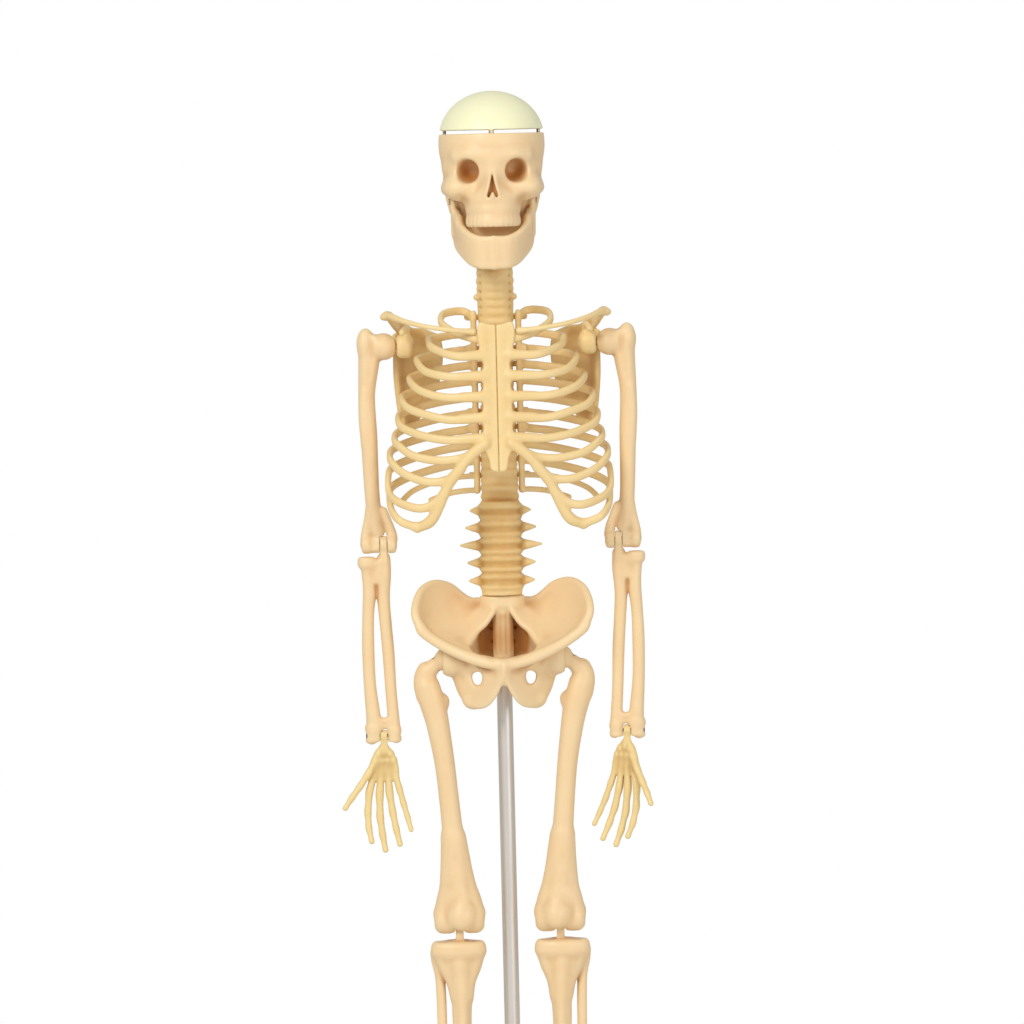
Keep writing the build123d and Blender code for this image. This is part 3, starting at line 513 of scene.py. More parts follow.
def tinted(tree, surface, marks, colour, darker):
    """A colour that falls to a darker share of itself where the marks are strong."""
    dark = tuple(darker * c for c in colour)
    tint = mixed(tree, ranged(tree, marks, 0.3, 0.7, 0.0, 1.0), colour, dark)
    tree.links.new(tint, surface.inputs["Base Color"])


def moulded_plastic(name, colour, painted_shade_colour, pale, roughness=0.42):
    """Moulded bone-coloured plastic, faintly clouded, with painted shade in its recesses and a painted highlight
    on its ridges.
    """
    material, tree, surface = shader(name)
    place = tree.nodes.new("ShaderNodeTexCoord").outputs["Object"]
    attribute = tree.nodes.new("ShaderNodeAttribute")
    attribute.attribute_name = "recess"
    recess = attribute.outputs["Fac"]
    # painted shade: the more recessed a point, the more it takes the darker colour
    hollow = ranged(tree, recess, 0.48, 0.72, 0.0, 1.0)
    # painted highlight: thin ridges, where the recess value is low, take the pale colour
    ridge = ranged(tree, recess, 0.48, 0.22, 0.0, 0.6)
    # the clouding is the plastic's own tone, between its colour and the pale one
    cloud = ranged(tree, noise(tree, place, 70.0, 3.0), 0.35, 0.65, 0.0, 0.35)
    body = mixed(tree, cloud, colour, pale)
    body = mixed(tree, ridge, body, pale)
    body = mixed(tree, hollow, body, painted_shade_colour)
    tree.links.new(body, surface.inputs["Base Color"])
    grained(tree, surface, noise(tree, place, 900.0), roughness - 0.05, roughness + 0.08, 0.12, 0.0002)
    surface.inputs["Subsurface Weight"].default_value = 0.18
    surface.inputs["Subsurface Radius"].default_value = (1.0, 0.55, 0.25)
    surface.inputs["Subsurface Scale"].default_value = 0.0025
    surface.inputs["Specular IOR Level"].default_value = 0.45
    return material


def steel(name, colour, roughness, stretch):
    """Drawn bar: fine marks along its length."""
    material, tree, surface = shader(name)
    mapping = tree.nodes.new("ShaderNodeMapping")
    mapping.inputs["Scale"].default_value = stretch
    tree.links.new(tree.nodes.new("ShaderNodeTexCoord").outputs["Object"], mapping.inputs["Vector"])
    marks = noise(tree, mapping.outputs["Vector"], 1200.0, 3.0)
    tinted(tree, surface, marks, colour, 0.82)
    surface.inputs["Metallic"].default_value = 1.0
    grained(tree, surface, marks, roughness - 0.06, roughness + 0.08, 0.08, 0.0001)
    return material


def plain_plastic(name, colour, roughness, grain_scale):
    """Textured moulding for the stand and its pads."""
    material, tree, surface = shader(name)
    grain = noise(tree, tree.nodes.new("ShaderNodeTexCoord").outputs["Object"], grain_scale)
    tinted(tree, surface, grain, colour, 0.95)
    grained(tree, surface, grain, roughness - 0.05, roughness + 0.08, 0.2, 0.0002)
    return material


# each plastic: its own colour, the painted shade colour in recesses, and a pale colour for its clouding and the
# painted highlight on ridges
BONE = moulded_plastic("bone_plastic", (0.82, 0.585, 0.32), (0.52, 0.22, 0.05), (0.87, 0.68, 0.40))
TRUNK = moulded_plastic("trunk_plastic", (0.80, 0.57, 0.25), (0.54, 0.26, 0.045), (0.86, 0.67, 0.34))
HAND = moulded_plastic("hand_plastic", (0.78, 0.58, 0.25), (0.50, 0.26, 0.07), (0.84, 0.68, 0.34))
CAP = moulded_plastic("cap_plastic", (0.89, 0.86, 0.55), (0.78, 0.58, 0.30), (0.91, 0.90, 0.60))
ROD_STEEL = steel("rod_steel", (0.82, 0.775, 0.72), 0.46, (1.0, 1.0, 0.02))
PIN_STEEL = steel("pin_steel", (0.62, 0.50, 0.34), 0.38, (0.05, 1.0, 1.0))
DARK_STEEL = steel("dark_steel", (0.07, 0.065, 0.06), 0.4, (1.0, 1.0, 1.0))
BASE_PLASTIC = plain_plastic("base_plastic", (0.82, 0.82, 0.80), 0.4, 1500.0)
PAD_RUBBER = plain_plastic("pad_rubber", (0.03, 0.03, 0.03), 0.8, 2500.0)


# ------------------------------------------------------------------ backbone
LUMBAR = [289, 282.4, 275.7, 268.9, 262]  # middles of the lumbar vertebrae
LUMBAR_REACH = [12, 13.9, 16, 13.4, 13]  # half spans of their transverse processes
THORACIC_TOP, THORACIC_PITCH = 363.5, 6.1
CERVICAL_TOP, CERVICAL_PITCH = 384, 3.05
CERVICAL_REACH = [7, 7, 7.3, 7.1, 8.4, 6.8, 6.4]


def spine_y(z):
    """Front-to-back place of the backbone: a leaning line with the chest's backward bow."""
    return 7 - 3 * (z - 256) / 130 + 8.4 * math.exp(-(((z - 328) / 27) ** 2))


def sculpt_backbone():
    clay = Clay((-18, -3, SPINE_FOOT - 1), (18, 34, NECK_TOP + 1), 0.42)
    sculpt_neck(clay)
    for i in range(12):
        z = THORACIC_TOP - THORACIC_PITCH * i
        y = spine_y(z)
        half = 5.9 + 0.14 * i
        for end in (-1.75, 1.75):
            clay.drum((0, y, z + end), (half, 4.9), 0.8, edge=0.5, blend=0.9)
        clay.drum((0, y, z), (half - 0.6, 4.4), 2.2, edge=0.5, blend=0.9)
        clay.drum((0, spine_y(z - 3), z - 3), (half - 0.5, 4.3), 0.8, edge=0.4, blend=0.6)
        for side in (-1, 1):
            if i < 11:
                process = [
                    (side * 3, y + 3.9, z, 1.6), (side * 7, y + 5.6, z, 1.2), (side * 10.9, y + 7.6, z, 1.35),
                ]
                clay.tube(process)
            clay.blob((side * 3.4, y + 5.4, z + 1.6), (1.6, 1.3, 2))
        clay.tube([(0, y + 3.5, z, 1.7), (0, y + 7.6, z - 2, 1.15), (0, y + 11, z - 5, 1.05)])
    for z, reach in zip(LUMBAR, LUMBAR_REACH):
        sculpt_lumbar(clay, z, reach)
    clay.drum((0, spine_y(SPINE_FOOT), SPINE_FOOT + 1.4), (7.8, 5.9), 1.8, edge=0.4, blend=0.5)
    clay.bore(2, (0, ROD_Y, SPINE_FOOT - 3), (0, ROD_Y, ROD_TOP + 0.8), ROD_BORE)
    clay.level(SPINE_FOOT + 0.05, keep_below=False)
    return clay


def sculpt_neck(clay):
    """The cervical column: bodies, the pillars beside them and stubby processes."""
    foot = THORACIC_TOP - 1
    levels = np.linspace(foot, NECK_TOP - 4.6, 20)
    clay.tube([(0, spine_y(z), z) for z in levels], radius=4.6, pitch=0.6)
    for side in (-1, 1):
        pillar = [(side * 2.6, spine_y(z) - 0.4, z, 3.6) for z in np.linspace(foot, NECK_TOP - 4.2, 6)]
        clay.tube(pillar, 1.2, pitch=0.6)
        pillar = [(side * 5, spine_y(z) + 1.8, z, 1.9) for z in np.linspace(foot, NECK_TOP - 2.4, 6)]
        clay.tube(pillar, 1, pitch=0.6)
    for i, reach in enumerate(CERVICAL_REACH):
        z = CERVICAL_TOP - CERVICAL_PITCH * i
        y = spine_y(z)
        clay.drum((0, y - 0.2, z), (5.6, 4.9), 1.1, edge=0.6, blend=0.8)
        for side in (-1, 1):
            tip = (side * (reach - 1.2), y + 0.6, z - 0.5, 1.25)
            clay.tube([(side * 4, y - 0.4, z + 0.2, 1.3), tip], 0.9)
            clay.blob((side * 5.6, y - 1.6, z - 1.6), (0.7, 1.2, 0.5), cut=True, blend=0.7)
        clay.tube([(0, y + 3, z, 1.2), (0, y + 6, z - 0.6, 0.9), (0, y + 8.3 + 0.3 * i, z - 1.6, 0.85)])


def sculpt_lumbar(clay, z, reach):
    y = spine_y(z)
    for end in (-2.1, 2.1):
        clay.drum((0, y, z + end), (8.3, 6.3), 0.85, edge=0.5, blend=1)
    clay.drum((0, y, z), (7.3, 5.6), 2.4, edge=0.5, blend=1)
    clay.drum((0, y, z + 3.35), (7.5, 5.7), 0.7, edge=0.4, blend=0.5)
    for side in (-1, 1):
        root, tip = side * 5.6, side * reach
        spike = [
            (root, y + 1.6, z + 0.2, 2.6), (0.6 * root + 0.4 * tip, y + 2, z + 0.2, 1.9),
            (tip - side * 0.6, y + 2.6, z + 0.2, 0.55),
        ]
        clay.tube(spike, 1.2)
        clay.blob((side * 4.2, y + 7.2, z + 1.4), (1.7, 1.6, 2.6))
    for lift in (-1.3, 0.2, 1.5):
        clay.tube([(0, y + 4.5, z + lift, 1.5), (0, y + 13.2, z + lift - 1.4, 1.2)])


# ------------------------------------------------------------------ rib cage
STERNUM_TOP, STERNUM_Y, STERNUM_TILT = 363, -18, 6.5  # its top edge, and how far it leans forward
UPRIGHT_TOP = 361.5  # the level in the upright breastbone that becomes the top of the tilted one
STRIP_X = 8.6  # the upright strip at the back that the ribs grow from
HALF_GAP = 0.08  # half of the seam between the two halves of the cage


def chest_front(z):
    """Front-to-back place of the breastbone's middle at a level."""
    return STERNUM_Y - (STERNUM_TOP - z) * math.tan(math.radians(STERNUM_TILT))


def margin_y(x):
    return -25.2 + 0.0075 * x * x


# ribs 2 to 10: the front view's points from the side to the front, each outward and up
RIBS = [
    [(27, 355), (24.8, 352.6), (16.3, 349.3), (6.4, 348.6)],
    [(31.6, 347.4), (27.6, 343.8), (18.6, 341.5), (6.4, 340.8)],
    [(34.5, 340.2), (30, 336.6), (20.2, 333.7), (6.4, 333)],
    [(37.7, 333), (34.7, 330), (27.4, 327.3), (18.3, 325.1), (6.2, 325.1)],
    [(39.4, 325.4), (36.6, 322.3), (27.5, 318.9), (17.6, 317.3), (6.2, 317.3)],
    [(41, 317.9), (38.6, 315.6), (32.8, 311.8), (22.2, 309.7), (13.2, 310.6), (7.4, 313.8)],
    [(43, 311.6), (41.3, 309), (36.8, 305.2), (28.3, 301.9), (20.2, 302), (14.2, 306)],
    [(43.7, 304), (43, 297.8), (39.6, 294.6), (32.1, 291.9), (26.4, 292.6), (20.6, 297.2)],
    [(43.4, 297), (42.2, 291.6), (38.6, 287.2), (31.6, 283.8)],
]
MARGIN = [
    (5, 316.6, 1.7), (9.6, 313, 1.8), (14.4, 307.9, 1.9), (19.7, 300.2, 1.8), (22.8, 293.2, 1.8),
    (26.6, 287.4, 2.2), (31.4, 285, 1.7),
]


def rib_points(level, front):
    """One rib in space, from the strip at the back round the side to its front end."""
    back = spine_y(level)
    side_x, side_z = front[0]
    drop = side_z - level
    points = [
        (STRIP_X, back + 1.6, level), (max(0.32 * side_x, 12.5), back + 4.4, level + 0.10 * drop),
        (max(0.52 * side_x, 17), back + 6.4, level + 0.24 * drop),
        (0.78 * side_x, 0.85 * back + 4.6, level + 0.50 * drop),
        (0.94 * side_x, 0.45 * back + 1.8, level + 0.76 * drop), (side_x - 1.3, -3, side_z),
    ]
    total = math.hypot(side_x - front[-1][0], 1)
    for x, z in front[1:]:
        share = min(1, (side_x - x) / total)
        swing = -3 - 19.5 * math.sqrt(max(0, 1 - (1 - share) ** 2))
        end = margin_y(x) if front[-1][0] > 7 else chest_front(z) - 0.6
        points.append((x - 0.9 * (1 - share), swing * (1 - share**3) + end * share**3, z + 1.3 * share))
    return points


def sculpt_rib_cage():
    clay = Clay((-0.5, -32, 279), (46, 26, 372), 0.45)
    half_breastbone = [
        (-10, 359.9), (-4, 359.9), (2, 360.1), (6, 361), (7.2, 357.5), (6.6, 352), (5.2, 347.4), (5.2, 341),
        (5.5, 332), (5.6, 320), (5.2, 313), (3.8, 309), (3.2, 305.4), (1.6, 304), (-4, 304), (-10, 304),
    ]
    breast = Clay((-0.5, -22, 298), (9, -14, 363), 0.45)
    breast.outline(half_breastbone, 1, -19.5, -16.6, edge=0.8)
    tilt_breastbone(clay, breast)
    for x in (1.7, 3.2):
        groove = [(x, chest_front(z) - 1.95, z, 0.42) for z in (358, 345, 330, 315, 308)]
        clay.tube(groove, 0.4, cut=True)
    levels = [THORACIC_TOP - THORACIC_PITCH * i for i in range(12)]
    strip = [(STRIP_X, spine_y(z) + 1.6, z) for z in np.linspace(levels[0] + 1.6, levels[11] + 0.6, 30)]
    clay.tube(strip, radius=1.25)
    first = [
        (STRIP_X, spine_y(levels[0]) + 1.6, levels[0]), (11.6, 11, 365.6), (15.6, 9.4, 366), (20.2, 3.4, 365),
        (20.6, -4.6, 361.9), (15.6, -12.4, 358.6), (9.8, -16.8, 356.6), (5.5, -18.2, 355.6),
    ]
    clay.beads(ribbon(first, 1.15, 0.45))
    for level, front in zip(levels[1:], RIBS):
        clay.beads(ribbon(rib_points(level, front), 1.22, 0.45), 0.9)
        x, z = front[-1][0], front[-1][1] + 1.3
        if x < 7:
            clay.tube([(x + 7, chest_front(z) + 0.9, z + 0.1, 1.3), (x - 1.2, chest_front(z), z, 1.9)], 1.8)
    clay.tube([(x, margin_y(x), z, thick) for x, z, thick in MARGIN], 1.6)
    floating = [
        [
            (STRIP_X, spine_y(levels[10]) + 1.6, levels[10]), (14, 18.6, 301.9), (22, 18.4, 301),
            (33, 13, 297.4), (38.4, 4, 293),
        ],
        [
            (STRIP_X, spine_y(levels[11]) + 1.6, levels[11] + 0.6), (13, 14.8, 296.7), (19.5, 16, 295.7),
            (26.6, 14, 293.4),
        ],
    ]
    for points in floating:
        clay.tube(points, radius=1.15)
    for i in (2, 7):
        z = levels[i]
        clay.drum((9.9, spine_y(z) + 2.6, z), (1.9, 1.9), 2, axis=1, blend=0.6)
    clay.field = np.maximum(clay.field, HALF_GAP - clay.line(0))
    return clay


def tilt_breastbone(clay, breast):
    """Adds an upright half breastbone to the cage, leaning forward at its foot."""
    place, x, y, z = clay._window(np.array([-0.5, -28.5, 298]), np.array([9, -14, 363]), 1)
    lean = math.radians(STERNUM_TILT)
    y, z = y - STERNUM_Y, z - STERNUM_TOP
    upright_y = y * math.cos(lean) - z * math.sin(lean) + STERNUM_Y
    upright_z = z * math.cos(lean) + y * math.sin(lean) + UPRIGHT_TOP
    grid = [(v - low) / breast.step for v, low in zip((x, upright_y, upright_z), breast.low)]
    clay._join(place, sampled(breast.field, np.broadcast_arrays(*grid)), 0.8)


def sampled(field, grid):
    """A field's values between its grid points, FAR outside it."""
    base = [np.floor(g).astype(int) for g in grid]
    share = [g - b for g, b in zip(grid, base)]
    within = np.ones(grid[0].shape, bool)
    for b, n in zip(base, field.shape):
        within &= (b >= 0) & (b < n - 1)
    base = [np.clip(b, 0, n - 2) for b, n in zip(base, field.shape)]
    value = np.zeros(grid[0].shape, np.float32)
    for i, j, k in CORNERS:
        weight = math.prod(part if on else 1 - part for part, on in zip(share, (i, j, k)))
        value += (weight * field[base[0] + i, base[1] + j, base[2] + k]).astype(np.float32)
    return np.where(within, value, FAR).astype(np.float32)


# ------------------------------------------------------------------ shoulder girdle
HEAD_X, HUMERUS_HEAD_R = 43.3, 5.2  # the ball of the upper arm


def sculpt_shoulder_girdle():
    clay = Clay((5, -27, 314), (47, 34, 371), 0.42)
    front = chest_front(359)
    clay.tube([
        (8.9, front, 359, 1.5), (11.5, front - 1.2, 359.2, 1.15), (18, -21.4, 360, 1), (27, -18.6, 361.4, 1),
        (34.5, -12.6, 363.2, 1.1), (39.4, -5.6, 364.9, 1.3), (41.4, 0, 365.4, 1.5),
    ])
    clay.blob((41.6, 1, 365), (2.7, 3.6, 1.7), turn=(0, 12, 0))
    blade_top = [
        (39.2, 12.4, 357, 0.9), (35, 17.2, 358.6, 0.65), (29, 22.2, 359, 0.6), (22.4, 27.4, 356.2, 0.75),
    ]
    blade_high = [
        (38.8, 12.6, 350, 1.15), (34, 18.2, 350.5, 0.55), (28, 23.4, 350, 0.5), (21.4, 28.3, 349, 0.8),
    ]
    blade_mid = [
        (38.6, 13, 340, 1.25), (34.4, 18, 339.5, 0.55), (29.4, 22.8, 338.5, 0.5), (23.6, 27, 337, 0.85),
    ]
    blade_low = [
        (37.6, 14.4, 328.6, 1.2), (35.2, 17.2, 328.2, 0.65), (32.4, 20, 327.8, 0.6),
        (29.4, 22.9, 327.4, 0.95),
    ]
    blade_foot = [
        (36.2, 15.6, 321.4, 1.2), (35.4, 16.8, 320.8, 1.1), (34.4, 18.2, 320.7, 1.1),
        (33.4, 19.4, 321.2, 1.1),
    ]
    clay.plate([blade_top, blade_high, blade_mid, blade_low, blade_foot], 0.6)
    crest = [
        (41, 4, 365, 1.5), (39.6, 11, 363.4, 1.25), (35.6, 17.6, 360.6, 1.2), (29, 23.6, 356.4, 1.1),
        (22.4, 28, 353.2, 1),
    ]
    foot = [
        (39, 9.6, 360.5, 0.9), (37.4, 13.4, 358.5, 0.8), (34.6, 17.2, 356.6, 0.7), (28.6, 22.6, 353.6, 0.7),
        (22.4, 27.4, 351.8, 0.8),
    ]
    clay.plate([crest, foot], 0.6)
    clay.tube([(38.2, 13, 353, 2.1), (36.6, 9, 353.2, 2.5), (34.6, 5.2, 353.3, 3)], 1)
    clay.drum((35.2, SHOULDER[1], SHOULDER[2]), (3.9, 4.6), 3.2, axis=0, edge=2.2, blend=2.2)
    clay.tube([
        (34.8, 5, 356, 1.6), (34.2, 2.4, 359.4, 1.4), (34.6, -1.4, 360.4, 1.2), (35.8, -5.4, 358.8, 1.25),
    ], 0.9)
    clay.blob((HEAD_X, SHOULDER[1], SHOULDER[2]), [HUMERUS_HEAD_R + 0.45] * 3, cut=True, blend=0.3)
    clay.pin_hole(SHOULDER, 31, 40, 1)
    return clay


# ------------------------------------------------------------------ arms
SLOT_SLACK = 0.14  # side clearance of a tongue in its slot
# each hinge's tongue, from its inner to its outer face along x
ELBOW_TONGUE, WRIST_TONGUE, KNEE_TONGUE, ANKLE_TONGUE = (43.7, 46.3), (45.4, 48), (17.9, 20.9), (17.5, 21.7)


def hinge_slot(clay, tongue, centre, radius, down, front, back, lift_front=0, lift_back=0):
    """The slot that the next bone's tongue swings in: round about the hinge and open below it."""
    low, high = tongue[0] - SLOT_SLACK, tongue[1] + SLOT_SLACK
    y, z = centre[1], centre[2]
    clay.hub(centre, (low + high) / 2, radius, (high - low) / 2, 0.1, 0.15, cut=True)
    for start, end, lift in ((-front, 0, lift_front), (0, back, lift_back), (-1, 1, 0)):
        clay.box((low, y + start, z - down), (high, y + end, z + lift), edge=0.1, blend=0.15, cut=True)


def sculpt_humerus():
    y, top = SHOULDER[1], SHOULDER[2]
    clay = Clay((36, -4, 272), (56, 12, 363), 0.4)
    clay.tube([
        (48.6, y, top + 0.6, 4.3), (48.9, y, 348, 4.1), (49.9, y, 338, 3.35), (50.1, y, 331.6, 3.2),
        (49.6, y - 0.2, 320, 3.2), (49.4, y - 0.4, 312, 3.1), (49, y - 0.6, 298, 2.9),
        (48.3, 3.4, 288.6, 2.9), (47.4, 3.1, 282.6, 2.8),
    ], 1.6, pitch=0.6)
    clay.blob((50, y - 0.6, top + 1.6), (3.4, 4, 5.6), blend=1.6)
    clay.blob((46.8, y - 3, top + 1), (2.4, 1.8, 3.6), blend=1.2)
    clay.blob((HEAD_X, y, top), [HUMERUS_HEAD_R] * 3, blend=1.4)
    clay.tube([
        (47.9, y - 4.6, top + 3, 0.6), (48.1, y - 4.8, top - 4, 0.6), (48.8, y - 4.4, 342, 0.5),
    ], 1.8, cut=True)
    clay.tube([(50.9, y - 2, 336, 1.2), (51.3, y - 1.4, 326, 1.7), (50.9, y - 1, 316, 1.1)], 1.8)
    for x, z, r in ((51.6, 281.6, 2), (41.9, 282, 1.9)):
        clay.tube([
            (0.55 * x + 0.45 * 48.3, 3.2, 290.5, 1.5), (x, 3.1, z, r), (x, ELBOW[1], ELBOW[2], 2.4),
        ], 1.4)
    clay.hub(ELBOW, 46.8, 3.3, 6.3, 0.9, 1)
    clay.hub(ELBOW, 51.6, 3.35, 1.6, 0.9, 0.8)
    clay.hub(ELBOW, 42, 3.35, 1.6, 0.9, 0.8)
    clay.blob((46.9, 6.2, 285.4), (2.4, 1.5, 2.4), cut=True, blend=1)
    clay.blob((45.4, -0.6, 284.8), (1.2, 1.5, 3.4), turn=(0, 12, 0), cut=True, blend=1.4)
    clay.blob((48.6, -0.4, 279.4), (1.6, 1.2, 3.4), cut=True, blend=1)
    hinge_slot(clay, ELBOW_TONGUE, ELBOW, 3.35, down=8, front=9, back=9, lift_front=2.6)
    clay.pin_hole(ELBOW, 38, 52, 0.83)
    clay.pin_hole(SHOULDER, 30, 48, 1.05)
    return clay


def sculpt_forearm():
    clay = Clay((38.5, -3, 198), (57, 9, 283), 0.38)
    clay.tube([
        (51.6, 2.6, 269.4, 2.5), (51.4, 2.6, 265.5, 2.3), (50.9, 2.6, 259.5, 2.55), (51.6, 2.5, 250, 2.3),
        (51.9, 2.4, 238, 2.4), (51.6, 2.2, 224, 2.4), (50.6, 2, 212, 2.8), (50.3, 2, 206.6, 3),
    ], 1, pitch=0.6)
    clay.drum((51.7, 2.6, 270.9), (3.5, 3.2), 2, edge=1.2, blend=1.6)
    clay.blob((51.6, 2.6, 273.6), (2.2, 2, 0.9), cut=True, blend=0.4)
    clay.drum((50.6, 2, 205), (3.3, 3.1), 3.2, edge=0.9, blend=1.2)
    clay.blob((51.4, 2, 202.2), (1.9, 2.2, 1.6), blend=1.4)
    clay.tube([
        (45.1, 3.6, 272, 2.6), (45.4, 3.6, 266, 3), (45.6, 3.3, 257, 2.5), (44.9, 3.1, 246, 2.35),
        (44.2, 3, 236, 2.35), (43.6, 2.6, 222, 2.2), (42.9, 2.3, 211, 2.3), (42.7, 2.1, 205.4, 2.6),
    ], 1, pitch=0.6)
    clay.drum((42.7, 2.1, 204.4), (2.6, 2.7), 2.9, edge=0.8, blend=0.8)
    clay.tube([(41.9, 2.2, 203, 1.5), (41.9, 2.3, 202.2, 1.2)], 1.2)
    clay.hub(ELBOW, 45, 3.2, 1.3, 0.3, 0.6)
    clay.box((43.7, 0.9, 270), (46.3, 5.6, ELBOW[2]), blend=0.6)
    clay.box((43.5, 0.4, 206.9), (49.5, 3.9, 210.8), edge=0.8, blend=1.4)
    clay.box((46, 0.6, 262.5), (50.4, 4.6, 271.6), edge=1.2, blend=1.4)
    hinge_slot(clay, WRIST_TONGUE, WRIST, 2.35, down=6, front=6, back=6, lift_front=1.2, lift_back=1.2)
    clay.pin_hole(ELBOW, 40, 50, 0.85)
    clay.pin_hole(WRIST, 38, 56, 0.73)
    clay.pin_hole(WRIST, 52.6, 60, 1.7)
    return clay


# the finger rays: metacarpal foot, knuckle, middle joint, end joint and tip, outward from the wrist's x
RAYS = [
    [(2.8, 0, 195.4), (6.4, -1.2, 189.4), (9.6, -2.2, 184.8), (12.8, -3.4, 180.6), (15.4, -4.4, 176.8)],
    [(3.2, 0.2, 192.4), (6.1, -0.2, 182.4), (6.9, -0.8, 174.6), (6.6, -2, 168.6), (5.6, -3.4, 163.6)],
    [(1.2, 0.3, 192.4), (2.2, -0.2, 181.4), (2.2, -0.6, 172.6), (1.4, -1.6, 165.8), (0.4, -3, 160.2)],
    [(-1.1, 0.3, 192.4), (-1.6, -0.2, 182), (-2.7, -0.7, 174.2), (-3.9, -2, 168), (-5.2, -3.8, 162.4)],
    [(-2.9, 0.1, 192.6), (-5.4, -0.3, 183.4), (-7, -0.9, 177.4), (-8.4, -2, 172.4), (-9.6, -3.6, 167.8)],
]
RAY_THICKNESS = [1.45, 1.5, 1.55, 1.5, 1.3]
CARPALS = [(-2.2, 197), (0, 197.9), (2.2, 196.9), (-3.4, 194.4), (-1.2, 194.5), (1.1, 194.4), (3.4, 194)]


def sculpt_hand(turn, lean):
    """A hand hung from its tongue, turned by degrees about an upright line and leaning inward by a slope."""
    middle = (WRIST_TONGUE[0] + WRIST_TONGUE[1]) / 2
    clay = Clay((middle - 17, -14, 156), (middle + 19, 16, 207), 0.3)
    c, s = math.cos(math.radians(turn)), math.sin(math.radians(turn))

    def placed(x, y, z):
        return (middle + c * x - s * y - lean * (WRIST[2] - z), WRIST[1] + s * x + c * y, z)

    for x, z in CARPALS:
        clay.blob(placed(x, 0.2, z), (1.5, 2, 1.4), turn=(0, 0, turn), blend=0.5)
    for ray, thick in zip(RAYS, RAY_THICKNESS):
        stations = [(*placed(*p), thick * k) for p, k in zip(ray, (1, 1.04, 0.98, 0.9, 0.76))]
        waists = []
        for a, b in zip(stations, stations[1:]):
            waists.append([(u + v) / 2 for u, v in zip(a, b)])
            waists[-1][3] *= 0.87
        line = [stations[0]]
        for waist, station in zip(waists, stations[1:]):
            line += [waist, station]
        clay.tube(line, 0.5, pitch=0.3)
    palm = [
        (199.4, 1.3, (-0.5, 0, 0.4, 0.8)), (196.4, 1.35, (-2.6, -0.7, 1.1, 3)),
        (191.8, 1.2, (-4.2, -1.3, 1.7, 4.9)), (187.4, 1, (-4.5, -1.2, 2, 5.6)),
    ]
    clay.plate([[(*placed(x, 0, z), thick) for x in spread] for z, thick, spread in palm], 0.6)
    clay.hub(WRIST, middle, 2.1, 1.3, 0.25, 0.5)
    clay.box((WRIST_TONGUE[0], WRIST[1] - 1.4, 197), (WRIST_TONGUE[1], WRIST[1] + 1.4, WRIST[2]), blend=0.6)
    clay.pin_hole(WRIST, 40, 52, 0.75)
    return clay


# ------------------------------------------------------------------ pelvis
# the sacrum from its wide top to the tail bone: level, front-to-back place, half width, thickness
SACRUM = [
    (253.4, 12.4, 9.6, 2.4), (248, 14.2, 11.2, 2.2), (241, 15, 11.6, 2.2), (234, 15.6, 10.4, 1.9),
    (228.5, 14.8, 7.6, 1.6),
]
# each row from the bowl's outer edge to its inner one: x, y, z, thickness
HIP_BOWL = [
    [(2, 8, 255.6, 1.6), (3, 5, 252.6, 1.5), (3.9, 3.2, 250.4, 1.2)],
    [(9.4, 12.4, 253.6, 1.6), (8.2, 7, 249.6, 1.4), (7, 2.4, 246, 1.2)],
    [(15.4, 15, 255.6, 1.5), (13.2, 9, 249, 1.1), (11, 1, 242.8, 1.3)],
    [(20.4, 13.6, 259.8, 1.4), (17.2, 8.4, 249.2, 1), (13, -2.2, 239.8, 1.3)],
    [(26.4, 8.6, 261.4, 1.3), (22, 4, 248, 0.95), (14.2, -5, 237.8, 1.4)],
    [(31.4, 1, 258.6, 1.3), (25.8, -1.2, 246, 1), (13.8, -8.4, 236.3, 1.5)],
    [(33.4, -7.4, 251.6, 1.4), (27.4, -6.8, 242.8, 1.3), (12, -11.2, 235, 1.6)],
    [(31, -9.9, 245, 1.6), (22, -10.9, 238.6, 1.7), (7.4, -14, 233, 1.8)],
]
HIP_WALL = [
    [(9, 13.4, 246, 1.4), (9.8, 14, 239, 1.4), (9.8, 14.2, 231.5, 1.4)],
    [(10.2, 8.4, 244.6, 1.3), (11.8, 9.4, 238.4, 1.3), (12.4, 9.8, 231.5, 1.4)],
    [(11, 1, 242.4, 1.3), (12.6, 2.6, 237, 1.3), (13.8, 3.6, 232, 1.5)],
    [(13, -2.2, 239.4, 1.3), (13.8, -0.6, 235, 1.3), (14.4, 0, 230.5, 1.6)],
    [(14.2, -5, 237.4, 1.4), (14.2, -4.6, 233.5, 1.4), (13.6, -4.4, 229.5, 1.6)],
    [(12.6, -10.6, 235, 1.5), (11.4, -10.2, 232.8, 1.5), (10, -9, 230.5, 1.6)],
]
PUBIC_PLATE = [
    (0.6, 233.5), (0.9, 225), (2.8, 220), (5.6, 216.2), (9, 214.4), (13, 214.8), (16.6, 219), (18.6, 227),
    (18.6, 235),
]


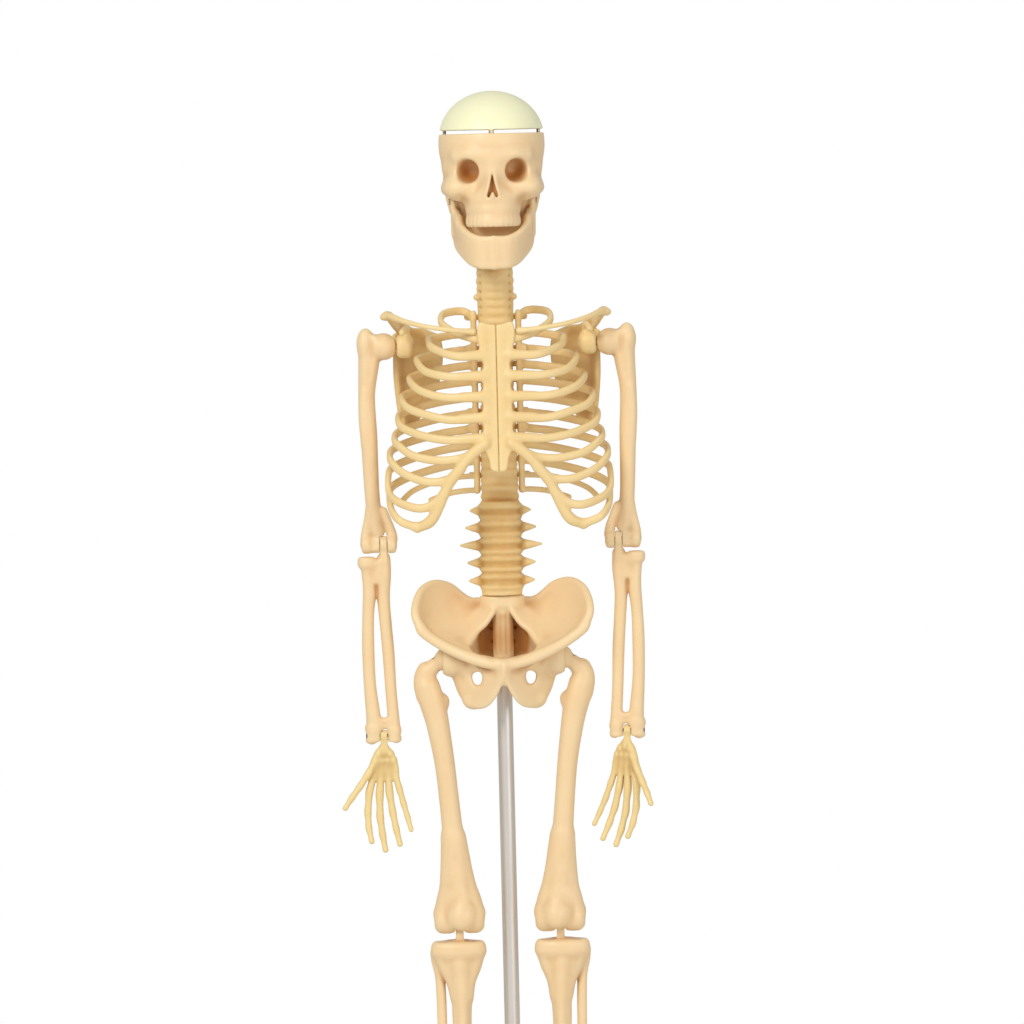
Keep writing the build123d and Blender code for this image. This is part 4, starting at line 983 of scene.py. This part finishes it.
def sculpt_pelvis():
    clay = Clay((-37, -20, 211), (37, 24, 265), 0.42)
    rows, shares = [], (-1, -0.5, 0.5, 1)
    for z, y, half, thick in SACRUM:
        rows.append([(x * half, y + 1.4 * abs(x) - 1.4, z, thick * (1 - 0.15 * abs(x))) for x in shares])
    clay.plate(rows, 1.2, pitch=0.55)
    clay.drum((0, 8.6, 254.3), (8.6, 5.8), 2.35, edge=0.8, blend=1.6)
    for side in (-1, 1):
        sculpt_hip_bone(clay, side)
    for i, z in enumerate((249.5, 243.8, 238.4, 233.6)):
        for side in (-1, 1):
            clay.blob((side * (5.4 - 0.9 * i), 10 + 1.1 * i, z), (0.9, 2.2, 0.8), cut=True, blend=0.5)
    clay.drum((0, ROD_Y, 241), (3.9, 3.9), 12.9, edge=0.4, blend=0.8)
    clay.tube([(0, 9, 250, 2.2), (0, 12, 242, 2.2)], 1)
    for x in (-1.5, 1.5):
        clay.tube([(x, ROD_Y - 3.7, 250, 0.6), (x, ROD_Y - 3.7, 234, 0.6)], 0.4, cut=True)
    clay.blob((0, -14.6, 228.4), (2.4, 2.6, 4.8), blend=1.4)
    # the crest, dimples and tail bone at the back
    clay.tube([(0, 15.6, 251, 1.3), (0, 17.2, 243, 1.3), (0, 17.4, 234, 1.1)], 1.6)
    clay.tube([(0, 15.4, 229, 2), (0, 14.2, 225, 1.6), (0, 12.8, 221.6, 1.1)], 1.4)
    for i, z in enumerate((248.5, 243.3, 238.4, 233.8)):
        for side in (-1, 1):
            clay.blob((side * (4.9 - 0.4 * i), 18.2, z), (0.9, 2, 0.9), cut=True, blend=1)
    clay.bore(2, (0, ROD_Y, 218), (0, ROD_Y, 264), ROD_BORE)
    for side in (-1, 1):
        clay.pin_hole(HIP, side * 17, side * 30, 5.05)
        clay.pin_hole(HIP, side * 13.5, side * 20, 1.02)
    return clay


def sculpt_hip_bone(clay, side):
    def at(rows):
        return [(side * x, y, z, r) for x, y, z, r in rows]

    # the bowl: each row runs from the crest in to the brim of the lesser pelvis
    clay.plate([at(row) for row in HIP_BOWL], 1, pitch=0.5)
    # the lesser pelvis's side wall, down from that brim
    clay.plate([at(row) for row in HIP_WALL], 1.2, pitch=0.5)
    # thicker edges: the crest, and the ridge from the front spine to the pubis
    crest = [row[0] for row in HIP_BOWL[2:]]
    clay.tube(at([(x, y, z, 1.5) for x, y, z, r in crest]), 0.8)
    ridge = [
        (31.4, -9.6, 246, 1.7), (29, -10.2, 243, 1.7), (20, -11.4, 237.6, 1.8), (13, -13.4, 234.4, 1.9),
        (6, -15, 232.4, 2), (0, -15.5, 231.5, 2.1),
    ]
    clay.tube(at(ridge), 1.2)
    clay.hub(HIP, side * 19.7, 6.8, 5, 4.6, 3.6)
    # pubis and ischium: a slanting plate with a small hole, thicker at the sitting bone
    plate = clay.blank()
    plate.outline([(side * x, z) for x, z in PUBIC_PLATE], 1, -19, 10, edge=1.2)
    angles = np.linspace(0, 2 * math.pi, 12, endpoint=False)
    hole = [(side * (10.3 + 1.9 * math.cos(a)), 226.4 + 3 * math.sin(a)) for a in angles]
    plate.outline(hole, 1, -25, 16, edge=0.1, blend=1.6, cut=True)
    plate.slab(
        (side * 10.5, -6.4, 0), (side * math.sin(math.radians(-42)), math.cos(math.radians(42)), 0), 1.9, 1.6,
    )
    clay.merge(plate, 1.4)
    clay.tube(at([(17.4, 1.6, 229, 3.2), (15.4, 0.8, 222, 3), (12.4, -2.2, 217.2, 2.9)]), 1.6)
    clay.blob((side * 11.4, -3.2, 217.2), (4.4, 3.2, 3.1), blend=1.6)
    clay.tube(at([(15.6, 6, 232, 1.8), (13.4, 9, 229.6, 1.2), (11.8, 10.2, 228.6, 0.8)]), 1.2)


# ------------------------------------------------------------------ legs
def sculpt_femur():
    clay = Clay((7.5, -11, 124), (38, 9, 240), 0.45)
    clay.tube([
        (29.4, 1.2, 222.5, 4.7), (28, 1, 217, 4.9), (26.5, 0.8, 211, 4.6), (25.4, 0.4, 205, 4.3),
        (23.6, 0, 193, 3.9), (22.2, -0.4, 178.5, 3.85), (20.9, -0.6, 163, 4.1), (20.2, -0.6, 152, 4.3),
        (19.6, -0.4, 144, 4.6),
    ], 2.4, pitch=0.8)
    clay.tube([(30.4, 1.6, 229, 2.9), (31.4, 1.8, 225.4, 3.3), (30.6, 1.6, 219.4, 3.2)], 2, pitch=0.6)
    clay.tube([(22.6, 0, 232.9, 2.95), (26, 0.5, 231.2, 2.85), (29.4, 1.2, 228, 3.4)], 1.4, pitch=0.5)
    clay.blob(HIP, [4.6] * 3, blend=0.6)
    clay.blob((23.4, 2.8, 216.4), (2.2, 2.4, 3), blend=2)
    clay.blob((28.6, 4.6, 226.6), (2.4, 1.6, 1.8), cut=True, blend=1.2)
    # the shaft widens into the two condyles
    rows = [
        [(19.4, -0.4, 164, 2.8), (20.9, -0.6, 164, 3.6), (22.4, -0.4, 164, 2.8)],
        [(18, -0.4, 157, 2.9), (20.4, -0.6, 157, 3.8), (22.8, -0.4, 157, 2.9)],
        [(16.8, -0.3, 150, 3.1), (19.9, -0.6, 150, 3.9), (23.2, -0.3, 150, 3.1)],
        [(15.2, 0, 142.5, 3.4), (19.5, -0.6, 142.5, 4.1), (23.8, 0, 142.5, 3.4)],
        [(13.8, 0.4, 135.8, 3.9), (19.3, -0.8, 135.8, 4.2), (24.8, 0.4, 135.8, 3.9)],
    ]
    clay.plate(rows, 3)
    for x in (14.3, 24.5):
        clay.drum((x, KNEE[1], KNEE[2]), (5.2, 5.15), 4.5, axis=0, edge=3.2, blend=2.6)
        clay.blob((x, 3, 133.6), (3.8, 3, 4.2), blend=1.4)
    clay.drum((19.4, KNEE[1], KNEE[2] + 0.4), (4.4, 4.3), 6, axis=0, edge=1, blend=1.2)
    clay.blob((19.4, -1, 139), (7.6, 4.4, 6.4), blend=3)
    clay.blob((18.2, -5.2, 133.8), (4.5, 3.5, 4.9), blend=3)
    clay.tube([(18, -4.2, 139, 1.4), (18.8, -3.8, 145, 1.2), (19.8, -3.4, 151, 0.9)], 2.6)
    clay.blob((19.4, 6, 138), (2.6, 2.2, 5), cut=True, blend=1.4)
    hinge_slot(clay, KNEE_TONGUE, KNEE, 3.35, down=9, front=3.6, back=12, lift_back=3.3)
    clay.pin_hole(HIP, 14, 27, 1.05)
    clay.pin_hole(KNEE, 11, 27.5, 0.83)
    return clay


def sculpt_shin():
    clay = Clay((8.5, -8, 36), (33, 12, 137), 0.45)
    clay.drum((20, 0.6, 121.4), (10.1, 6.2), 2.7, edge=1.8, blend=3.6)
    rows = [
        [(13.7, 0.6, 119.8, 3.7), (20, 0.6, 118.6, 5.4), (26.3, 0.6, 119.8, 3.7)],
        [(14.9, 0.5, 115, 3.8), (19.8, 0.3, 114.6, 5), (24.5, 0.5, 115, 3.7)],
        [(16.9, 0.2, 109, 3.4), (19.4, 0, 109, 4.2), (22, 0.2, 109, 3.3)],
        [(18.2, 0.1, 103, 3.5), (19.2, 0.1, 103, 3.9), (20.2, 0.1, 103, 3.5)],
    ]
    clay.plate(rows, 3)
    clay.tube([
        (19.3, 0, 108, 4), (19.1, 0.2, 101.8, 3.95), (19.3, 0.4, 95.7, 3.75), (19.2, 1.4, 80, 3.3),
        (19.3, 2.6, 66, 3.1), (19.2, 3.8, 56, 3.2), (18.8, 4.7, 51, 3.5),
    ], 1.6, pitch=0.7)
    clay.tube([
        (19.6, -3.6, 115.6, 1.7), (19.2, -3.3, 108, 1.5), (18.9, -2.9, 96, 1.2), (18.8, -1.6, 78, 1),
    ], 2)
    for x in (14.6, 25.4):
        clay.blob((x, 0.6, 124.6), (3.6, 4, 0.9), cut=True, blend=0.6)
    clay.tube([
        (28.4, 2.4, 119.2, 2.5), (28.2, 2.4, 116.4, 2.5), (27.4, 2.4, 110, 2), (27.1, 2.4, 101.8, 1.95),
        (26.9, 2.7, 90, 1.9), (26.2, 3.3, 74, 1.8), (25.2, 4.2, 60, 1.8), (24.2, 4.8, 51, 2.1),
        (23.8, 5, 44, 2.2), (23.6, 5, 40, 1.4),
    ], 1, pitch=0.6)
    clay.tube([(22, 1.6, 118.6, 2.2), (27, 2.4, 117.4, 2)], 1.4)
    clay.tube([(17.6, 5, 51, 3), (15.8, 5, 46, 2.2), (15.5, 5, 41, 1.4)], 1.2)
    clay.box((15, 1.6, 46), (24, 8.4, 50), edge=1, blend=1.4)
    clay.hub(KNEE, 19.4, 3.1, 1.5, 0.3, 0.5)
    clay.box((17.9, -1.9, 122), (20.9, 1.9, KNEE[2]), blend=0.5)
    hinge_slot(clay, ANKLE_TONGUE, ANKLE, 3.5, down=6, front=9, back=9, lift_front=1.6, lift_back=1.6)
    clay.pin_hole(KNEE, 15, 24, 0.85)
    clay.pin_hole(ANKLE, 13, 25.4, 0.83)
    return clay


TOES = [ # root x, knuckle x, tip x, tip y, thickness, from the big toe outward
    (17, 14.8, 13.6, -44.5, 1.75),
    (18.7, 18.2, 18, -44, 1.3),
    (20.4, 21.4, 22, -41.6, 1.25),
    (22, 24.4, 25.8, -38, 1.2),
    (23.6, 27.2, 29.2, -33.6, 1.2),
]


def sculpt_foot():
    clay = Clay((9, -49, SOLE - 1), (33, 21, 47), 0.4)
    clay.hub(ANKLE, 19.6, 3.2, 2.1, 0.4, 0.6)
    clay.box((17.5, 2.6, SOLE + 13), (21.7, 7.4, ANKLE[2]), blend=0.8)
    clay.blob((19.6, 3, SOLE + 12), (4.6, 7.2, 3.8), blend=1.4)
    clay.blob((19.9, 10, SOLE + 8), (3.8, 8, 4.6), turn=(14, 0, 0), blend=1.6)
    clay.blob((20, 14.4, SOLE + 5), (4.2, 4.6, 5.2), blend=1.6)
    clay.blob((17.6, -4.6, SOLE + 10.6), (3.2, 3.2, 3.2), blend=0.9)
    clay.blob((23, -5, SOLE + 6.8), (3.3, 4.4, 3.4), blend=0.9)
    for x, y, z in ((16.2, -10.4, 9.4), (19.2, -10.6, 9.6), (22, -10.8, 8.4)):
        clay.blob((x, y, SOLE + z), (1.9, 2.8, 2.6), blend=0.8)
    for root, knuckle, tip, tip_y, thick in TOES:
        ground = SOLE + thick
        stations = [
            (root, -12.6, SOLE + 8, thick * 1.15), (0.5 * (root + knuckle), -20, SOLE + 6.4, thick * 0.85),
            (knuckle, 0.62 * tip_y, ground + 1.6, thick * 1.2),
            (0.6 * knuckle + 0.4 * tip, 0.76 * tip_y, ground + 1.4, thick * 0.82),
            (0.3 * knuckle + 0.7 * tip, 0.88 * tip_y, ground + 1.1, thick * 1),
            (tip, tip_y, ground + 0.1, thick * 0.85),
        ]
        clay.tube(stations, 0.6, pitch=0.4)
    clay.level(SOLE + 0.05, keep_below=False, blend=0.4)
    clay.pin_hole(ANKLE, 15, 24, 0.85)
    return clay


# ------------------------------------------------------------------ skull
SKULL_Y, SKULL_HALF_WIDTH, SKULL_HALF_DEPTH, VAULT_Z = 1, 20.1, 25.5, 432


def sculpt_vault(clay):
    clay.blob((0, SKULL_Y, VAULT_Z), (SKULL_HALF_WIDTH, SKULL_HALF_DEPTH, CROWN - VAULT_Z), low_radius=27.5)


def sculpt_skull_cap():
    clay = Clay((-21.5, -26.5, CAP_FOOT - 1), (21.5, 28.5, CROWN + 1), 0.42)
    sculpt_vault(clay)
    clay.blob(
        (0, SKULL_Y, VAULT_Z), (18.1, 23.5, CROWN - VAULT_Z - 2), low_radius=25, cut=True, blend=0.3,
    )
    clay.level(CAP_FOOT + 0.03, keep_below=False)
    return clay


def sculpt_cap_pins():
    clay = Clay((-19.2, -25.6, 431.4), (19.2, 23.7, 436), 0.3)
    for x, y in ((-17.9, SKULL_Y), (17.9, SKULL_Y), (0, -23.1), (0, 22.3)):
        across = (0.95, 0.7) if x == 0 else (0.7, 0.95)
        clay.drum((x, y, 433.7), across, 2, edge=0.3, blend=0.2)
    return clay


def sculpt_cranium():
    clay = Clay((-22, -30, 386), (22, 29, CAP_CUT + 1), 0.36)
    sculpt_vault(clay)
    clay.blob((0, -30, 405), (30, 14, 10), cut=True, blend=2)
    # base of the skull and the stub that turns on the neck
    clay.blob((0, 6, 409.5), (15.5, 17.5, 10), blend=6)
    clay.blob((0, -2, 408.5), (12.8, 13, 6.5), blend=2)
    for side in (-1, 1):
        clay.tube([
            (side * 1.5, 4, 393, 5.8), (side * 2.9, 4.2, 397, 8), (side * 4.2, 5, 402.5, 8.6),
        ], 3, pitch=0.8)
    # brow to upper jaw
    clay.blob((0, -6.6, 428), (18.9, 16.9, 13), blend=4)
    clay.blob((0, -7, 420), (18.7, 17, 10.2), blend=3)
    clay.blob((0, -22.4, 425.4), (3.4, 2, 2.2), blend=2.6)
    clay.blob((0, -13.4, 408.6), (10.9, 11.4, 9.4), blend=2.6)
    clay.drum((0, -13.8, 402.4), (9.9, 11.2), 3.9, edge=1.6, blend=2)
    for side in (-1, 1):
        sculpt_cheek(clay, side)
    # nasal bones and the opening under them
    clay.tube([(0, -22, 425, 1.8), (0, -23, 421, 1.7), (0, -23.8, 416.6, 1.7), (0, -23.6, 412, 2.2)], 3.4)
    nostril = [(0, 418.4), (0.5, 416.2), (1.3, 413), (2, 410.4), (1.4, 409.6), (0.5, 411.2), (0, 411.8)]
    nostril += [(-x, z) for x, z in nostril[-2:0:-1]]
    clay.outline(nostril, 1, -32, -22.2, edge=0.15, blend=1, cut=True)
    sculpt_teeth(clay, 400.5, 9.75, 11.1, -13.8)
    # brain space, ear holes and the pin bores
    clay.blob((0, 4, 432.5), (18, 21.4, 19), cut=True, blend=0.4)
    for side in (-1, 1):
        clay.blob((side * 18.4, 6.4, 411.4), (2.6, 1.1, 1.2), cut=True, blend=0.4)
        clay.pin_hole(JAW, side * 7, side * 14, 0.65)
    clay.level(CAP_CUT - 0.03, keep_below=True)
    clay.level(387.6, keep_below=False, blend=0.6)
    return clay


def sculpt_cheek(clay, side):
    def at(x, y, z, r):
        return (side * x, y, z, r)

    # cheek bone and its arch
    clay.blob((side * 12.4, -16, 413.4), (6, 5.4, 4.2), turn=(0, 0, -side * 35), blend=4)
    arch = [
        at(13.6, -14.2, 413.2, 3.2), at(16.2, -9.5, 413.2, 3), at(17.2, -4, 413, 2.4),
        at(17, 2, 412.8, 2), at(15, 6.6, 412.8, 1.8),
    ]
    clay.tube(arch, 4)
    # brow, then the eye socket
    clay.tube([at(4, -22.6, 425.2, 1.5), at(8.6, -22, 426, 1.7), at(13, -18.8, 425.4, 1.7)], 3.4)
    clay.blob(
        (side * 9.35, -21.2, 419.6), (4.5, 9.4, 4.5), turn=(0, side * 10, side * 9), cut=True, blend=1.4,
    )
    # hollow under the cheek bone
    clay.blob((side * 12, -22, 407.4), (2.6, 4.4, 3), cut=True, blend=1.8)
    # mastoid and the jaw's hinge seat
    clay.tube([at(15.2, 10.2, 410, 3), at(14.6, 9.8, 404.5, 2.2), at(14, 9.4, 401.8, 1.4)], 1.6)
    clay.hub(JAW, side * 9.9, 3, 3.3, 0.6, 1.6)


def tooth_arch(share, half_width, depth, middle):
    """A point of a dental arch; share runs from -1 to 1 along it."""
    angle = share * math.radians(80)
    return half_width * math.sin(angle), middle - depth * math.cos(angle)


def sculpt_teeth(clay, z, half_width, depth, middle):
    """Fourteen teeth, barely parted, standing on an arch."""
    for i in range(14):
        share = (i - 6.5) / 6.5
        x, y = tooth_arch(share, half_width, depth, middle)
        clay.blob((x, y, z), (1.15, 0.8, 2.1), turn=(0, 0, share * 70), blend=1)


# the jaw's edges from its angle to the chin
JAW_LOWER_EDGE = [
    (14.2, 1.2, 394.8), (13.4, -5.5, 391), (11, -12.6, 387.8), (8.3, -18, 385.3), (5, -21.6, 384.1),
    (0, -22.8, 383.9),
]
JAW_UPPER_EDGE = [
    (14.6, -1.4, 405), (13.7, -6.4, 403), (12.7, -11.4, 399.4), (9.8, -18.2, 395.9), (5.4, -22.3, 393.9),
    (0, -23.8, 393.7),
]
# the upright branch in side view, y and z
RAMUS = [
    (-5.4, 395.2), (-5.4, 399), (-6.3, 405), (-6, 408.6), (-4.8, 408.6), (-3.2, 405.2), (-1.4, 404.6),
    (0, 406.6), (2.6, 406.4), (3, 401), (2.9, 397), (1.6, 395.2), (-2, 394.6),
]


def sculpt_jaw():
    clay = Clay((-17.8, -29, 381), (17.8, 8, 412), 0.36)
    for side in (-1, 1):
        low = [(side * x, y, z, 1.5) for x, y, z in JAW_LOWER_EDGE]
        high = [(side * x, y, z, 1.4) for x, y, z in JAW_UPPER_EDGE]
        clay.plate([low, high], 0.8)
        clay.outline(RAMUS, 0, *sorted((side * 13.95, side * 15.9)), edge=0.8, blend=1.2)
        clay.hub(JAW, side * 14.9, 2.8, 1.3, 0.5, 0.6)
        clay.pin_hole(JAW, side * 12, side * 17, 0.66)
        clay.blob((side * 12.7, -9, 399.4), (1.3, 3, 3.6), turn=(0, 0, side * 12), blend=1.6)
    for i in range(8):
        x = (i - 3.5) * 1.55
        y = -25.35 + 0.035 * x * x
        clay.tube([(x, y, 395.4), (x * 0.96, y + 0.1, 388.6)], 0.5, radius=0.5, cut=True)
    return clay


# ------------------------------------------------------------------ the pieces
# painted shade under the chin, behind the chest and over the lumbar bodies
BACKBONE_SHADES = [((0, 0.0, 386.0), (12.0, 12.0, 7.0), 0.14), ((0, 8.0, 335.0), (20.0, 16.0, 30.0), 0.16)]
BACKBONE_SHADES += [((0, 2.0, 275.0), (22.0, 14.0, 28.0), 0.12)]
make("backbone_bone", sculpt_backbone(), TRUNK, "trunk", "backbone", shades=BACKBONE_SHADES)
# painted shade inside the pelvic bowl, on the boss within it and on the inner wings; the wider reach darkens the
# whole bowl
PELVIS_SHADES = [
    ((0, 11.0, 240.0), (13.0, 9.0, 12.0), 0.2), ((0, ROD_Y - 3.0, 240.5), (6.0, 4.4, 13.0), 0.42),
]
PELVIS_SHADES += [((side * 17.0, 12.0, 251.0), (10.0, 9.0, 9.0), 0.12) for side in (-1, 1)]
make("pelvis_bone", sculpt_pelvis(), BONE, "trunk", "pelvis", 3.4, PELVIS_SHADES)
make("cranium_bone", sculpt_cranium(), BONE, "head", "cranium", 3.6)
make("skull_cap_bone", sculpt_skull_cap(), CAP, "cap_body", "skull_cap")
make("cap_pin_tabs", sculpt_cap_pins(), PIN_STEEL, "head", "cap_pins")
make("jaw_bone", sculpt_jaw(), BONE, "jaw_body", "jaw")
make_pair("rib_cage_bone", sculpt_rib_cage(), TRUNK, "trunk", "rib_cage")
# painted shade on the shoulder blade behind the ribs
make_pair(
    "shoulder_girdle_bone", sculpt_shoulder_girdle(), TRUNK, "trunk", "shoulder_girdle",
    shades=[((33.0, 18.0, 345.0), (11.0, 12.0, 30.0), 0.25)],
)
make_pair("humerus_bone", sculpt_humerus(), BONE, "upper_arm", "humerus")
make_pair("forearm_bone", sculpt_forearm(), BONE, "lower_arm", "forearm")
make_pair("femur_bone", sculpt_femur(), BONE, "thigh", "femur")
make_pair("shin_bone", sculpt_shin(), BONE, "lower_leg", "shin")
make_pair("foot_bone", sculpt_foot(), BONE, "foot_body", "foot")

# the left hand hangs turned in, in degrees, and leaning inward, as a slope
LEFT_HAND_TURN, LEFT_HAND_LEAN = -32.0, 0.09
# a short reach so that painted shade picks out the gaps between the carpals, and a faint painted shade over the
# wrist
HAND_REACH, HAND_SHADES = 1.3, [((46.7, 0.5, 194.0), (9.0, 7.0, 7.5), 0.05)]
for side, turn, lean in (("left", LEFT_HAND_TURN, LEFT_HAND_LEAN), ("right", 0.0, 0.0)):
    hand = ("hand_bone", sculpt_hand(turn, lean), HAND, "hand_body", "hand", "hand_plastic")
    make_side(side, *hand, HAND_REACH, HAND_SHADES)

KEPT_NODE_MATERIALS = {
    "rod_steel": ROD_STEEL,
    "pin_steel": PIN_STEEL,
    "dark_steel": DARK_STEEL,
    "base_plastic": BASE_PLASTIC,
    "pad_rubber": PAD_RUBBER,
}
for part in frame["record"]["subparts"]:
    if part["material_slot"] in KEPT_NODE_MATERIALS:
        node = frame["nodes"][part["node"]]
        node.data.materials.clear()
        node.data.materials.append(KEPT_NODE_MATERIALS[part["material_slot"]])


# ------------------------------------------------------------------ studio
VIEW_CENTRE = (0.0045, 0.0, 0.289)  # the point that the camera aims at, in metres
EYE_HEIGHT = 0.43  # level with the gap under the skull cap, which shows daylight
VIEW_WIDTH, LENS, SENSOR, ROLL = 0.392, 200.0, 36.0, -1.35


def camera():
    eye = bpy.data.objects.new("camera", bpy.data.cameras.new("camera"))
    bpy.context.scene.collection.objects.link(eye)
    eye.data.lens = LENS
    eye.data.sensor_width = SENSOR
    eye.data.clip_end = 20.0
    away = VIEW_WIDTH * LENS / SENSOR
    rise = EYE_HEIGHT - VIEW_CENTRE[2]
    eye.location = (VIEW_CENTRE[0], -math.sqrt(away**2 - rise**2), EYE_HEIGHT)
    aim = (Vector(VIEW_CENTRE) - eye.location).to_track_quat("-Z", "Y").to_matrix()
    eye.rotation_euler = (aim @ Matrix.Rotation(math.radians(ROLL), 3, "Z")).to_euler()
    bpy.context.scene.camera = eye


def softbox(name, place, target, size, power):
    light = bpy.data.lights.new(name, "AREA")
    light.shape = "RECTANGLE"
    light.size, light.size_y = size
    light.energy = power
    lamp = bpy.data.objects.new(name, light)
    bpy.context.scene.collection.objects.link(lamp)
    lamp.location = place
    lamp.rotation_euler = (Vector(target) - Vector(place)).to_track_quat("-Z", "Y").to_euler()


def floor():
    bpy.ops.mesh.primitive_circle_add(vertices=96, radius=0.5, fill_type="NGON", location=(0, 0, 0))
    disc = bpy.context.object
    disc.name = "floor"
    material, tree, surface = shader("pale_floor")
    surface.inputs["Base Color"].default_value = (0.9, 0.9, 0.9, 1.0)
    surface.inputs["Roughness"].default_value = 0.8
    disc.data.materials.append(material)


def studio():
    """A white backdrop that lights the model more softly than it shows, with a key and a fill light."""
    world = bpy.data.worlds.new("studio")
    world.use_nodes = True
    tree = world.node_tree
    backdrop = tree.nodes["Background"]
    backdrop.inputs["Color"].default_value = (1.0, 1.0, 1.0, 1.0)
    seen = tree.nodes.new("ShaderNodeLightPath").outputs["Is Camera Ray"]
    tree.links.new(ranged(tree, seen, 0.0, 1.0, 0.56, 1.0), backdrop.inputs["Strength"])
    bpy.context.scene.world = world
    bpy.context.scene.view_settings.view_transform = "Standard"
    softbox("key_light", (-0.75, -1.3, 1.15), (0, 0, 0.3), (0.6, 0.6), 14.0)
    softbox("fill_light", (0.9, -1.3, 0.55), (0, 0, 0.3), (0.6, 0.6), 5.6)


camera()
floor()
studio()
